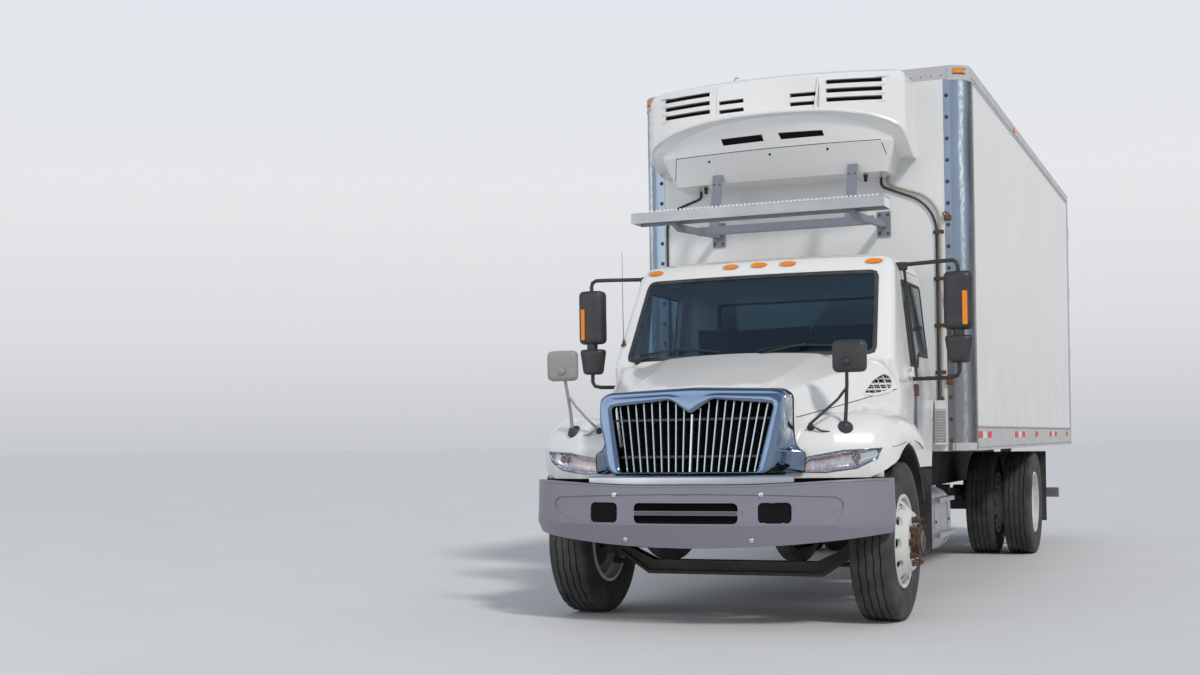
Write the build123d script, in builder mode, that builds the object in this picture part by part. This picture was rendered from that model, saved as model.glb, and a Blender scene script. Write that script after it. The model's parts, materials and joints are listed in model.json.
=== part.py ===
from build123d import *
from math import atan2, cos, degrees, hypot, radians, sin, tan
import os

# Refrigerated truck with a conventional cab, in millimetres.
# +Z is up and the truck faces -Y, so +X is the driver's side.
# A station is a distance back from the bumper's face.

# Layout along the truck
front_axle_station = 1020
wheelbase = 5950
cab_back_station = 2700
box_front_station = 2780
box_length = 7030
door_hardware_depth = 40

# Layout across and up
box_half_width = 1295
box_bottom = 1060
box_top = 3940
cab_bottom = 950

# Clearances
seat_gap = 0.3
panel_gap = 6
swing_gap = 6

# Wheels and tyres
tyre_radius = 506
tyre_half_section = 138
tread_half_width = 116
bead_radius = 286
flange_radius = 298.5
rim_half_width = 105
flange_thickness = 13
disc_offset = 167
disc_thickness = 10
front_track_half = 1015
stud_circle = 285.75
stud_count = 10
nut_radius = 17
nut_height = 34
drum_radius = 205
hub_radius = 88
hub_cap_radius = 62

# Ladder frame
frame_half_width = 432
frame_top = 965
rail_height = 257
rail_flange = 76
rail_thickness = 7
horn_top = 850

# Hood hinge and doors
hood_pivot_station = 92
hood_pivot_height = 720
door_front_station = 1832
door_back_station = 2640
door_inner_x = 820
door_outer_x = 1200
door_hinge_x = 1040
door_hinge_station = 1834
door_hinge_heights = (1150, 1620)
hinge_radius = 8
hinge_half_height = 34

overall_length = box_front_station + box_length + door_hardware_depth
rear_axle_station = front_axle_station + wheelbase
box_back_station = box_front_station + box_length
frame_bottom = frame_top - rail_height


def at(station):
    """Y of a station."""
    return station - overall_length / 2


def across(station):
    """Plane facing forward at a station: its x is X and its y is Z."""
    return Plane.XZ.offset(-at(station))


def lengthwise(x):
    """Plane facing +X at a distance from the middle: its x is Y and its y is Z."""
    return Plane.YZ.offset(x)


def level(z):
    """Plane facing up at a height."""
    return Plane.XY.offset(z)


def outline(points, grow=0):
    """Closed straight-sided profile in the open sketch, its edges moved outwards by a distance."""
    Polygon(*points, align=None)
    if grow:
        offset(amount=grow, kind=Kind.INTERSECTION, mode=Mode.REPLACE)


def box(x0, x1, station0, station1, z0, z1, mode=Mode.ADD):
    """Plain block between two corners, in the open part."""
    with BuildSketch(level(z0)) as base:
        with Locations(((x0 + x1) / 2, at((station0 + station1) / 2))):
            Rectangle(abs(x1 - x0), abs(station1 - station0))
    extrude(base.sketch, amount=z1 - z0, mode=mode)


def side_profile(points, x0, x1, mode=Mode.ADD, grow=0):
    """Plate with a side outline of (station, z) points, from x0 to x1."""
    with BuildSketch(lengthwise(x0)) as profile:
        outline([(at(s), z) for s, z in points], grow)
    extrude(profile.sketch, amount=x1 - x0, mode=mode)


def front_profile(points, station0, station1, mode=Mode.ADD, grow=0):
    """Plate with a front outline of (x, z) points, from station0 back to station1."""
    with BuildSketch(across(station1)) as profile:
        outline(points, grow)
    extrude(profile.sketch, amount=station1 - station0, mode=mode)


def rod(start, end, radius, mode=Mode.ADD):
    """Round bar between two (x, station, z) points."""
    a = Vector(start[0], at(start[1]), start[2])
    b = Vector(end[0], at(end[1]), end[2])
    with BuildSketch(Plane(origin=a, z_dir=b - a)) as end:
        Circle(radius)
    extrude(end.sketch, amount=(b - a).length, mode=mode)


def tube_path(points, radii, radius):
    """Round tube along (x, station, z) points whose corners are rounded by radii."""
    with BuildLine() as path:
        FilletPolyline(*[(x, at(s), z) for x, s, z in points], radius=radii)
    with BuildSketch(Plane(origin=path.line @ 0, z_dir=path.line % 0)) as end:
        Circle(radius)
    sweep(end.sketch, path=path.line)


def both_sides(part):
    """The open part gets a piece and its mirror image across the middle."""
    add(part)
    mirror(part, about=Plane.YZ)


# Ladder frame: two channel rails and cross members
cross_members = [
    # station, lower z, upper z
    (430, 715, 840),
    (2450, 850, 950),
    (3600, 850, 950),
    (4500, 830, 950),
    (5700, 850, 950),
    (8100, 850, 950),
    (9550, 730, 950),
]
frame_front_station = 66
frame_back_station = 9690
horn_back_station = 560
cross_member_depth = 60
pivot_pin_radius = 12
pivot_arm_x = 480
pivot_arm_thickness = 12

with BuildPart() as frame:
    with BuildSketch(across(frame_back_station)):
        for side in (1, -1):
            web = side * (frame_half_width - rail_thickness / 2)
            lip = side * (frame_half_width - rail_flange / 2)
            with Locations((web, frame_top - rail_height / 2)):
                Rectangle(rail_thickness, rail_height)
            for z in (frame_top - rail_thickness / 2, frame_bottom + rail_thickness / 2):
                with Locations((lip, z)):
                    Rectangle(rail_flange, rail_thickness)
    extrude(amount=frame_back_station - frame_front_station)
    inner = frame_half_width - rail_thickness
    for station, low, high in cross_members:
        box(-inner, inner, station - cross_member_depth / 2, station + cross_member_depth / 2, low, high)
    horn_slope = 200
    side_profile(
        [(frame_front_station - 10, horn_top), (horn_back_station - horn_slope, horn_top),
         (horn_back_station, frame_top + 1), (frame_front_station - 10, frame_top + 1)],
        -frame_half_width - 1, frame_half_width + 1, Mode.SUBTRACT)
    for side in (1, -1):
        rod((side * (frame_half_width - rail_thickness), hood_pivot_station, hood_pivot_height),
            (side * (pivot_arm_x + pivot_arm_thickness), hood_pivot_station, hood_pivot_height),
            pivot_pin_radius)

# Bumper: a plan-curved pressing with a centre slot and two lamp recesses
bumper_top = 925
bumper_crease = 653
bumper_bottom = 510
bumper_corner_bottom = 600
bumper_half_width = 1190
bumper_end_station = 480
bumper_bend = (900, 175)
bumper_thickness = 9
bumper_flange = 40
bend_angle = degrees(2 * atan2(bumper_bend[1], bumper_bend[0]))
end_chord = degrees(atan2(bumper_end_station - bumper_bend[1], bumper_half_width - bumper_bend[0]))
end_angle = 2 * end_chord - bend_angle


def bumper_curve(inset):
    """Front curve of the bumper, moved in by a distance: middle, bend, mid wrap and end."""
    def moved(x, station, angle):
        return (x - inset * sin(radians(angle)), at(station + inset * cos(radians(angle))))
    bend = moved(*bumper_bend, bend_angle)
    end = moved(bumper_half_width, bumper_end_station, end_angle)
    mid_angle = (bend_angle + end_angle) / 2
    half_turn = radians(end_angle - bend_angle) / 2
    chord = hypot(bumper_half_width - bumper_bend[0], bumper_end_station - bumper_bend[1])
    rise = chord / 2 * (1 - cos(half_turn)) / sin(half_turn)
    mid_x = (bumper_bend[0] + bumper_half_width) / 2 + rise * sin(radians(end_chord))
    mid_station = (bumper_bend[1] + bumper_end_station) / 2 - rise * cos(radians(end_chord))
    return (0, at(inset)), bend, moved(mid_x, mid_station, mid_angle), end


def bumper_face(z, inset, back_station):
    """Plan outline behind the bumper's curve, at a height."""
    middle, bend, wrap, end = bumper_curve(inset)
    left = [(-x, y) for x, y in (bend, wrap, end)]
    with BuildSketch(level(z)) as face:
        with BuildLine():
            ThreePointArc(left[0], middle, bend)
            ThreePointArc(bend, wrap, end)
            Polyline(end, (end[0], at(back_station)), (-end[0], at(back_station)), left[2])
            ThreePointArc(left[2], left[1], left[0])
        make_face()
    return face.sketch


def bumper_block(levels, back_station, mode=Mode.ADD):
    """Loft of plan outlines at (z, inset) levels."""
    loft([bumper_face(z, inset, back_station) for z, inset in levels], ruled=True, mode=mode)


bumper_outer = [(bumper_bottom, 55), (bumper_crease, 0), (bumper_top, 10)]
bumper_back_station = bumper_end_station + 30

groove_half_width = 940
groove_top = 822
groove_depth = 5

with BuildPart() as bumper_groove:
    bumper_block(bumper_outer, bumper_back_station)
    bumper_block([(z, inset + groove_depth) for z, inset in bumper_outer],
                 bumper_back_station + 50, Mode.SUBTRACT)
    with BuildSketch(across(bumper_end_station - 100)):
        with BuildLine():
            half, low, high = groove_half_width, bumper_crease + 12, groove_top
            Line((-half + 260, low), (half - 260, low))
            ThreePointArc((half - 260, low), (half - 60, low + 45), (half, high - 55))
            ThreePointArc((half, high - 55), (half - 16, high - 16), (half - 60, high))
            ThreePointArc((half - 60, high), (0, high + 20), (-half + 60, high))
            ThreePointArc((-half + 60, high), (-half + 16, high - 16), (-half, high - 55))
            ThreePointArc((-half, high - 55), (-half + 60, low + 45), (-half + 260, low))
        make_face()
    extrude(amount=bumper_end_station, mode=Mode.INTERSECT)

with BuildPart() as bumper:
    bumper_block(bumper_outer, bumper_back_station)
    add(bumper_groove.part, mode=Mode.SUBTRACT)
    bumper_inner = [(bumper_bottom - 1, 55.5), (bumper_crease, 0), (bumper_top + 1, 10)]
    bumper_block([(z, inset + bumper_thickness) for z, inset in bumper_inner],
                 bumper_back_station + 100, Mode.SUBTRACT)
    extrude(bumper_face(bumper_top, 10, bumper_back_station), amount=-bumper_thickness)
    extrude(bumper_face(bumper_top, 10 + bumper_flange, bumper_back_station + 100),
            amount=-bumper_thickness, mode=Mode.SUBTRACT)
    with BuildSketch(across(bumper_back_station + 200)):
        with BuildLine():
            ThreePointArc((-bumper_half_width - 20, bumper_corner_bottom), (0, bumper_bottom),
                          (bumper_half_width + 20, bumper_corner_bottom))
            reach = bumper_half_width + 20
            Polyline((reach, bumper_corner_bottom), (reach, bumper_bottom - 10),
                     (-reach, bumper_bottom - 10), (-reach, bumper_corner_bottom))
        make_face()
    extrude(amount=bumper_back_station + 300, mode=Mode.SUBTRACT)
    slots = [
        # middle x, middle z, width, height, corner radius
        (0, 725, 670, 126, 32),
        (552, 727, 195, 125, 30),
        (-552, 727, 195, 125, 30),
    ]
    with BuildSketch(across(bumper_end_station - 100)):
        for x, z, width, height, corner in slots:
            with Locations((x, z)):
                RectangleRounded(width, height, corner)
    extrude(amount=bumper_end_station, mode=Mode.SUBTRACT)
    for side in (1, -1):
        box(side * (frame_half_width - rail_flange), side * (frame_half_width - rail_thickness),
            48, frame_front_station - seat_gap, frame_bottom + 10, horn_top - 10)
    box(-365, 365, 31, 50, 712, 738)

# Front axle: dropped I-beam with spring seats and a boss at each kingpin
spring_width = 76
springs = [
    # middle x, front eye station, axle station, back eye station, eye z, middle z, thickness
    (440, 440, front_axle_station, 1600, 640, 402, 70),
    (478, 6180, rear_axle_station, 7760, 660, 618, 80),
]
kingpin_x = 910
kingpin_radius = 22
boss_radius = 48
boss_bottom = 440
boss_top = 560
beam_half_depth = 50
beam_flange = 16

with BuildPart() as front_axle:
    beam_half = [(0, 365), (560, 365), (740, 450), (840, 545), (880, 545), (880, 455), (800, 400),
                 (600, 270), (0, 270)]
    front_profile(beam_half[:-1] + [(-x, z) for x, z in reversed(beam_half[:-1])],
                  front_axle_station - beam_half_depth, front_axle_station + beam_half_depth)
    web_half = [(0, 345), (550, 345), (720, 425), (800, 430), (600, 292), (0, 292)]
    for side in (1, -1):
        edge = front_axle_station + side * beam_half_depth
        near, far = sorted((edge, edge - side * (beam_half_depth - beam_flange)))
        web = web_half[1:-1] + [(-x, z) for x, z in reversed(web_half[1:-1])]
        front_profile(web, near, far, Mode.SUBTRACT)
    for side in (1, -1):
        spring_seat = springs[0][5] - springs[0][6] / 2 - seat_gap
        box(side * 402, side * 478, front_axle_station - beam_half_depth,
            front_axle_station + beam_half_depth, 350, spring_seat)
        foot = (side * kingpin_x, front_axle_station, boss_bottom)
        head = (side * kingpin_x, front_axle_station, boss_top)
        rod(foot, head, boss_radius)
        rod(foot, head, kingpin_radius + seat_gap, Mode.SUBTRACT)

# Steering knuckles: two ears and a web round the boss, kingpin, spindle and arm
ear_thickness = 40
knuckle_web_x = (kingpin_x + boss_radius + 8, 990)
backing_radius = 190
spindle_radius = 35
steering_arm_length = 140
tie_rod_radius = 16
tie_rod_height = 338
arm_bottom = 402

with BuildPart() as knuckle_left:
    low, high = boss_bottom - 0.5 - ear_thickness, boss_top + 0.5 + ear_thickness
    for z0, z1 in ((low, boss_bottom - 0.5), (boss_top + 0.5, high)):
        rod((kingpin_x, front_axle_station, z0), (kingpin_x, front_axle_station, z1), 45)
        box(kingpin_x, knuckle_web_x[1], front_axle_station - 45, front_axle_station + 45, z0, z1)
    box(*knuckle_web_x, front_axle_station - 45, front_axle_station + 45, low, high)
    rod((kingpin_x, front_axle_station, low), (kingpin_x, front_axle_station, high), kingpin_radius)
    rod((knuckle_web_x[1] - 5, front_axle_station, tyre_radius),
        (knuckle_web_x[1] + 10, front_axle_station, tyre_radius), backing_radius)
    rod((knuckle_web_x[1], front_axle_station, tyre_radius), (1130, front_axle_station, tyre_radius),
        spindle_radius)
    box(kingpin_x - 20, kingpin_x + 20, front_axle_station + 30,
        front_axle_station + steering_arm_length + 20, arm_bottom, arm_bottom + 28)

with BuildPart() as knuckle_right:
    mirror(knuckle_left.part, about=Plane.YZ)

with BuildPart() as tie_rod:
    tie_station = front_axle_station + steering_arm_length
    rod((-kingpin_x, tie_station, tie_rod_height), (kingpin_x, tie_station, tie_rod_height),
        tie_rod_radius)
    for side in (1, -1):
        with Locations((side * kingpin_x, at(tie_station), tie_rod_height)):
            Cylinder(26, 34)
        rod((side * kingpin_x, tie_station, tie_rod_height),
            (side * kingpin_x, tie_station, arm_bottom - seat_gap), 13)

# Leaf springs: curved packs with hangers under the rails
with BuildPart() as leaf_springs:
    for x, front, middle, back, eye_z, middle_z, thickness in springs:
        for side in (1, -1):
            with BuildSketch(lengthwise(side * x - spring_width / 2)):
                with BuildLine():
                    low_z = eye_z - 22
                    upper_z, lower_z = middle_z + thickness / 2, middle_z - thickness / 2
                    ThreePointArc((at(front), eye_z), (at(middle), upper_z), (at(back), eye_z))
                    Line((at(back), eye_z), (at(back), low_z))
                    ThreePointArc((at(back), low_z), (at(middle), lower_z), (at(front), low_z))
                    Line((at(front), low_z), (at(front), eye_z))
                make_face()
            extrude(amount=spring_width)
            inner_x = side * (x - spring_width / 2)
            if x > frame_half_width + 20:
                inner_x = side * (frame_half_width - 40)
            for station in (front, back):
                box(inner_x, side * (x + spring_width / 2), station - 45, station + 45, eye_z - 40,
                    frame_bottom - seat_gap)
            top = middle_z + thickness / 2 - 4
            reach = spring_width / 2 + 12
            box(side * (x - reach), side * (x + reach), middle - 90, middle + 90, top, top + 26)

# Rear axle: housing, differential bowl and tube ends
rear_spindle_radius = 45
rear_drum_x = (650, 850)

with BuildPart() as rear_axle:
    with Locations(Pos(0, at(rear_axle_station), tyre_radius)):
        Cylinder(72, 2 * (rear_drum_x[0] - 8), rotation=(0, 90, 0))
        Cylinder(rear_spindle_radius, 2 * 800, rotation=(0, 90, 0))
        Sphere(195)
        with Locations((0, -150, 30)):
            Cylinder(85, 160, rotation=(90, 0, 0))
    for side in (1, -1):
        spring_seat = springs[1][5] - springs[1][6] / 2 - seat_gap
        box(side * 440, side * 516, rear_axle_station - 70, rear_axle_station + 70, 540, spring_seat)

# Engine, radiator and driveline
with BuildPart() as engine:
    box(-330, 330, 560, 1350, 640, 1430)

with BuildPart() as radiator:
    box(-430, 430, 400, 480, 930, 1400)
    for side in (1, -1):
        box(side * 150, side * 340, 402, 458, 840 + seat_gap, 935)

with BuildPart() as driveline:
    front_profile([(-210, 640), (210, 640), (230, 800), (180, 925), (-180, 925), (-230, 800)],
                  1350 + seat_gap, 2200)
    rod((0, 2190, 745), (0, 4500, 720), 50)
    with Locations((0, at(4500), 730)):
        Cylinder(80, 70, rotation=(90, 0, 0))
    box(-60, 60, 4465, 4535, 730, 830 - seat_gap)
    rod((0, 4500, 720), (0, 6735, 536), 50)

# Tanks: fuel tank with straps and steps, and two air tanks inside the frame
tank_front_station = 2130
tank_back_station = 2880
tank_outer_x = 1100
tank_inner_x = 470
tank_bottom = 330
tank_top = 800

with BuildPart() as tanks:
    with BuildSketch(across(tank_back_station)):
        with Locations(((tank_inner_x + tank_outer_x) / 2, (tank_bottom + tank_top) / 2)):
            RectangleRounded(tank_outer_x - tank_inner_x, tank_top - tank_bottom, 150)
    extrude(amount=tank_back_station - tank_front_station)
    for station in (tank_front_station + 120, tank_back_station - 120):
        with BuildSketch(across(station + 30)):
            with Locations(((tank_inner_x + tank_outer_x) / 2, (tank_bottom + tank_top) / 2)):
                RectangleRounded(tank_outer_x - tank_inner_x + 12, tank_top - tank_bottom + 12, 156)
        extrude(amount=60)
        box(frame_half_width + seat_gap, tank_inner_x + 40, station - 30, station + 30, 720, tank_top)
    for z in (450, 700):
        box(tank_outer_x - 60, tank_outer_x + 45, tank_front_station + 80, tank_back_station - 80,
            z, z + 30)
    for side in (1, -1):
        rod((side * 310, 5000, 820), (side * 310, 5600, 820), 95)
        for station in (5100, 5500):
            box(side * 390, side * (frame_half_width - rail_thickness - seat_gap),
                station - 20, station + 20, 790, 850)

# Battery box with steps, on the right
with BuildPart() as battery_box:
    box(-1090, -520, 2150, 2860, 430, 800)
    for z in (450, 700):
        box(-1145, -1080, 2210, 2800, z, z + 30)
    for station in (2250, 2760):
        box(-530, -frame_half_width - seat_gap, station - 30, station + 30, 720, 800)

# Exhaust: muffler and tail pipe under the right rail
with BuildPart() as exhaust:
    rod((-660, 3050, 640), (-660, 3950, 640), 140)
    tube_path([(-660, 3900, 640), (-660, 4350, 640), (-660, 4800, 560), (-980, 5000, 560),
               (-1150, 5000, 560)], (120, 120, 120), 55)
    for station in (3200, 3800):
        box(-700, -frame_half_width - seat_gap, station - 20, station + 20, 740, 800)

# Cab body: plan outlines at a few heights
cab_levels = [
    # z, half width, front middle station, front corner station, back station
    (cab_bottom, 1012, 1425, 1430, cab_back_station),
    (1480, 1030, 1425, 1430, cab_back_station),
    (1700, 1006, 1190, 1385, cab_back_station),
    (2350, 940, 1640, 1745, cab_back_station - 5),
    (2425, 900, 1690, 1800, cab_back_station - 30),
    (2458, 780, 1800, 1900, cab_back_station - 130),
]
cab_wall = 45
cab_corner = 70
roof_thickness = 40


def cab_block(inset, bottom, top_drop, mode=Mode.ADD):
    """Cab body moved in by a distance, from a bottom height to below the roof."""
    sections = []
    levels = list(cab_levels)
    levels[0] = (bottom, *levels[0][1:])
    levels[-1] = (levels[-1][0] - top_drop, *levels[-1][1:])
    if top_drop:
        levels[-2] = (levels[-2][0] - top_drop * 0.6, *levels[-2][1:])
        levels[-3] = (levels[-3][0] - top_drop * 0.6, *levels[-3][1:])
    for z, half, middle, corner, back in levels:
        with BuildSketch(level(z)) as section:
            with BuildLine():
                ThreePointArc((-half + inset, at(corner + inset)), (0, at(middle + inset)),
                              (half - inset, at(corner + inset)))
                Polyline((half - inset, at(corner + inset)), (half - inset, at(back - inset)),
                         (-half + inset, at(back - inset)), (-half + inset, at(corner + inset)))
            make_face()
            fillet(vertices(), cab_corner)
        sections.append(section.sketch)
    loft(sections, ruled=True, mode=mode)


with BuildPart() as cab_solid:
    cab_block(0, cab_bottom, 0)
with BuildPart() as cab_room:
    cab_block(cab_wall, 1040, roof_thickness)
with BuildPart() as cab_skin:
    add(cab_solid.part)
    cab_block(cab_wall, cab_bottom - 20, roof_thickness, Mode.SUBTRACT)
with BuildPart() as cab_skin_wide:
    add(cab_solid.part)
    cab_block(cab_wall + swing_gap, cab_bottom - 20, roof_thickness, Mode.SUBTRACT)
with BuildPart() as glass_skin:
    add(cab_solid.part)
    cab_block(12, cab_bottom - 20, 8, Mode.SUBTRACT)

door_outline = [(door_front_station, 955), (door_back_station, 955), (door_back_station, 2290),
                (door_back_station - 60, 2345), (door_front_station + 50, 2345), (door_front_station, 2270)]
window_outline = [(1925, 1665), (2190, 1665), (2260, 1765), (2590, 1765), (2590, 2270), (1925, 2270)]
windshield_outline = [(-885, 1735), (885, 1735), (835, 2318), (-835, 2318)]
rear_window_outline = [(-640, 1750), (640, 1750), (640, 2230), (-640, 2230)]


def door_hinge(station_end, upper):
    """Half hinge at each hinge height: a knuckle on the door's axis and a leaf that runs to a station."""
    for z in door_hinge_heights:
        z0, z1 = (z + seat_gap, z + hinge_half_height) if upper else (z - hinge_half_height, z)
        rod((door_hinge_x, door_hinge_station, z0), (door_hinge_x, door_hinge_station, z1), hinge_radius)
        bend = door_hinge_station + (12 if upper else -12)
        near, far = sorted((door_hinge_station, bend))
        box(door_hinge_x - hinge_radius, door_hinge_x, near, far, z0, z1)
        near, far = sorted((bend, station_end))
        box(door_hinge_x - 32, door_hinge_x, near, far, z0, z1)


handle_station = 2550
handle_height = 1300

with BuildPart() as handle_slot:
    add(glass_skin.part)
    with BuildSketch(lengthwise(door_inner_x)):
        with Locations((at(handle_station), handle_height)):
            SlotOverall(250, 34, rotation=90)
    extrude(amount=door_outer_x - door_inner_x, mode=Mode.INTERSECT)

with BuildPart() as door_left:
    add(cab_skin.part)
    side_profile(door_outline, door_inner_x, door_outer_x, Mode.INTERSECT)
    side_profile(window_outline, door_inner_x, door_outer_x, Mode.SUBTRACT)
    add(handle_slot.part, mode=Mode.SUBTRACT)
    door_hinge(door_hinge_station + 40, True)
with BuildPart() as door_right:
    mirror(door_left.part, about=Plane.YZ)

with BuildPart() as door_glass_left:
    add(glass_skin.part)
    side_profile(window_outline, door_inner_x, door_outer_x, Mode.INTERSECT, -seat_gap)
with BuildPart() as door_glass_right:
    mirror(door_glass_left.part, about=Plane.YZ)

with BuildPart() as door_space:
    add(cab_skin_wide.part)
    side_profile(door_outline, door_inner_x, door_outer_x, Mode.INTERSECT, panel_gap)

with BuildPart() as cab_hinges:
    door_hinge(door_hinge_station - 50, False)

with BuildPart() as cab_shell:
    add(cab_solid.part)
    add(cab_room.part, mode=Mode.SUBTRACT)
    add(door_space.part, mode=Mode.SUBTRACT)
    mirror(door_space.part, about=Plane.YZ, mode=Mode.SUBTRACT)
    front_profile(windshield_outline, 1000, 1900, Mode.SUBTRACT)
    front_profile(rear_window_outline, 2500, 2800, Mode.SUBTRACT)
    both_sides(cab_hinges.part)
    box(-760, 760, 1400, 2720, cab_bottom - 10, 990, Mode.SUBTRACT)
    for side in (1, -1):
        for station in (1560, 2560):
            box(side * 360, side * 430, station - 50, station + 50, frame_top + seat_gap, 1000)

with BuildPart() as windshield:
    add(glass_skin.part)
    front_profile(windshield_outline, 1000, 1900, Mode.INTERSECT, -seat_gap)
with BuildPart() as rear_window:
    add(glass_skin.part)
    front_profile(rear_window_outline, 2500, 2800, Mode.INTERSECT, -seat_gap)
with BuildPart() as cab_glass:
    add(windshield.part)
    add(rear_window.part)

# Dashboard with steering wheel
with BuildPart() as dashboard:
    side_profile([(1400, 1450), (1400, 1700), (1600, 1720), (1800, 1700), (1815, 1620), (1790, 1450)],
                 -1000, 1000)
    cab_block(cab_wall + seat_gap, 1040 + seat_gap, roof_thickness, Mode.INTERSECT)
    rod((400, 1780, 1600), (400, 1985, 1705), 30)
    with Locations(Location((400, at(1990), 1707), (-65, 0, 0))):
        Torus(215, 15)
        Box(410, 40, 12)
        Cylinder(60, 30)

# Seats: driver's seat and passenger bench
with BuildPart() as seats:
    for x, width in ((400, 520), (-330, 900)):
        box(x - width / 2, x + width / 2, 2110, 2560, 1290, 1430)
        side_profile([(2440, 1420), (2560, 1420), (2630, 2050), (2530, 2050)], x - width / 2, x + width / 2)
        box(x - width / 2 + 60, x + width / 2 - 60, 2150, 2500, 1040 + seat_gap, 1300)

# Load box: insulated walls, roof and floor
wall = 73
front_wall_thickness = 100
post_radius = 150
post_wall = 80
rail_proud = 5
top_rail_height = 100
floor_bottom = 1150
floor_top = 1250
wall_outer = box_half_width - rail_proud
wall_inner = wall_outer - wall
rear_frame_depth = 110
wall_top = box_top - top_rail_height
side_front = box_front_station + post_radius
side_back = box_back_station - rear_frame_depth

with BuildPart() as box_sides:
    for side in (1, -1):
        box(side * wall_inner, side * (wall_outer - seat_gap), side_front + seat_gap, side_back - seat_gap,
            floor_top + seat_gap, wall_top - seat_gap)

with BuildPart() as box_front_wall:
    reach = box_half_width - post_radius - seat_gap
    box(-reach, reach, box_front_station, box_front_station + front_wall_thickness,
        box_bottom, wall_top - seat_gap)

with BuildPart() as corner_posts:
    for side in (1, -1):
        with BuildSketch(level(box_bottom)):
            with BuildLine():
                x_in, x_out = side * (box_half_width - post_radius), side * box_half_width
                y_front, y_back = at(box_front_station), at(side_front)
                turn = post_radius * (1 - cos(radians(45)))
                ThreePointArc((x_in, y_front), (x_out - side * turn, y_front + turn), (x_out, y_back))
                inner_turn = (post_radius - post_wall) * (1 - cos(radians(45)))
                Line((x_out, y_back), (x_out - side * post_wall, y_back))
                ThreePointArc((x_out - side * post_wall, y_back),
                              (x_out - side * (post_wall + inner_turn), y_front + post_wall + inner_turn),
                              (x_in, y_front + post_wall))
                Line((x_in, y_front + post_wall), (x_in, y_front))
            make_face()
        extrude(amount=wall_top - seat_gap - box_bottom)

deck_height = 15

with BuildPart() as box_floor:
    box(-wall_outer + seat_gap, wall_outer - seat_gap, side_front + seat_gap, side_back - seat_gap,
        floor_bottom, floor_top)
    inner_reach = box_half_width - post_radius - 20
    box(-inner_reach, inner_reach, box_front_station + front_wall_thickness + seat_gap, side_front + 1,
        floor_bottom, floor_top)
    box(-wall_inner + 2, wall_inner - 2, side_front + 2, side_back - 2, floor_top, floor_top + deck_height)

sill_count = 18
sill_half_width = 25
sill_bottom = box_bottom + 2

with BuildPart() as floor_sills:
    sill_pitch = (side_back - side_front - 200) / (sill_count - 1)
    for n in range(sill_count):
        station = side_front + 100 + n * sill_pitch
        box(-1180, 1180, station - sill_half_width, station + sill_half_width,
            sill_bottom, floor_bottom - seat_gap)
    for side in (1, -1):
        box(side * (frame_half_width - rail_flange), side * frame_half_width,
            side_front + 40, side_back - 40, frame_top + seat_gap, sill_bottom - seat_gap)

with BuildPart() as box_rails:
    with BuildSketch(level(wall_top)):
        with BuildLine():
            edge = post_radius * (1 - cos(radians(45)))
            front, back = at(box_front_station), at(side_back) - seat_gap
            outer, flat = box_half_width, box_half_width - post_radius
            start, end = (-outer, front + post_radius), (outer, front + post_radius)
            ThreePointArc(start, (-outer + edge, front + edge), (-flat, front))
            Line((-flat, front), (flat, front))
            ThreePointArc((flat, front), (outer - edge, front + edge), end)
            Polyline(end, (outer, back), (wall_inner, back), (wall_inner, front + post_radius),
                     (flat, front + post_wall), (-flat, front + post_wall),
                     (-wall_inner, front + post_radius), (-wall_inner, back), (-outer, back), start)
        make_face()
    extrude(amount=top_rail_height)
    for side in (1, -1):
        lower_rail = [(wall_outer, floor_top), (box_half_width, floor_top), (box_half_width, box_bottom),
                      (1185, box_bottom), (1185, box_bottom + 6), (wall_outer, box_bottom + 6)]
        front_profile([(side * x, z) for x, z in lower_rail], side_front + seat_gap, side_back - seat_gap)

with BuildPart() as box_roof:
    box(-wall_inner + seat_gap, wall_inner - seat_gap, side_front + seat_gap, side_back - seat_gap,
        wall_top, box_top - 8)

# Rear frame: posts, header, sill and guard
rear_post = 100
header_bottom = 3760
sill_top = 1200
guard_height = 450

with BuildPart() as rear_frame:
    opening = box_half_width - rear_post
    box(-box_half_width, box_half_width, side_back, box_back_station, box_bottom, box_top)
    box(-opening, opening, side_back - 10, box_back_station + 10, sill_top, header_bottom, Mode.SUBTRACT)
    for side in (1, -1):
        box(side * 500, side * 620, side_back + 10, box_back_station - 20, guard_height, box_bottom + 2)
    box(-1150, 1150, side_back + 10, box_back_station - 15, guard_height, guard_height + 110)

# Red lamps on the rear sill and header
rear_lamp_points = [
    # x, z, radius
    (0, 3850, 26),
    (160, 3850, 26),
    (-160, 3850, 26),
    (1180, 3850, 26),
    (-1180, 3850, 26),
    (1090, 1130, 52),
    (960, 1130, 52),
    (-1090, 1130, 52),
    (-960, 1130, 52),
]

with BuildPart() as rear_lamps:
    for x, z, radius in rear_lamp_points:
        rod((x, box_back_station + seat_gap, z), (x, box_back_station + 14, z), radius)

# Rear doors: insulated leaves with hinge straps and lock bars
door_leaf = 75
hinge_pin_x = box_half_width + 5
hinge_pin_station = box_back_station + 12
leaf_inner_x = 6

with BuildPart() as rear_door_left:
    box(leaf_inner_x, box_half_width - rear_post - panel_gap, box_back_station - door_leaf, box_back_station,
        sill_top + panel_gap, header_bottom - panel_gap)
    for z in (1420, 2120, 2820, 3520):
        box(1100, hinge_pin_x, box_back_station, box_back_station + 12, z - 40, z + 40)
        rod((hinge_pin_x, hinge_pin_station, z - 50), (hinge_pin_x, hinge_pin_station, z + 50), 10)
    for x in (420, 820):
        rod((x, box_back_station + 24, sill_top + 20), (x, box_back_station + 24, header_bottom - 20), 16)
        for z in (1500, 2400, 3400):
            box(x - 40, x + 40, box_back_station, box_back_station + 20, z - 30, z + 30)
with BuildPart() as rear_door_right:
    mirror(rear_door_left.part, about=Plane.YZ)

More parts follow.
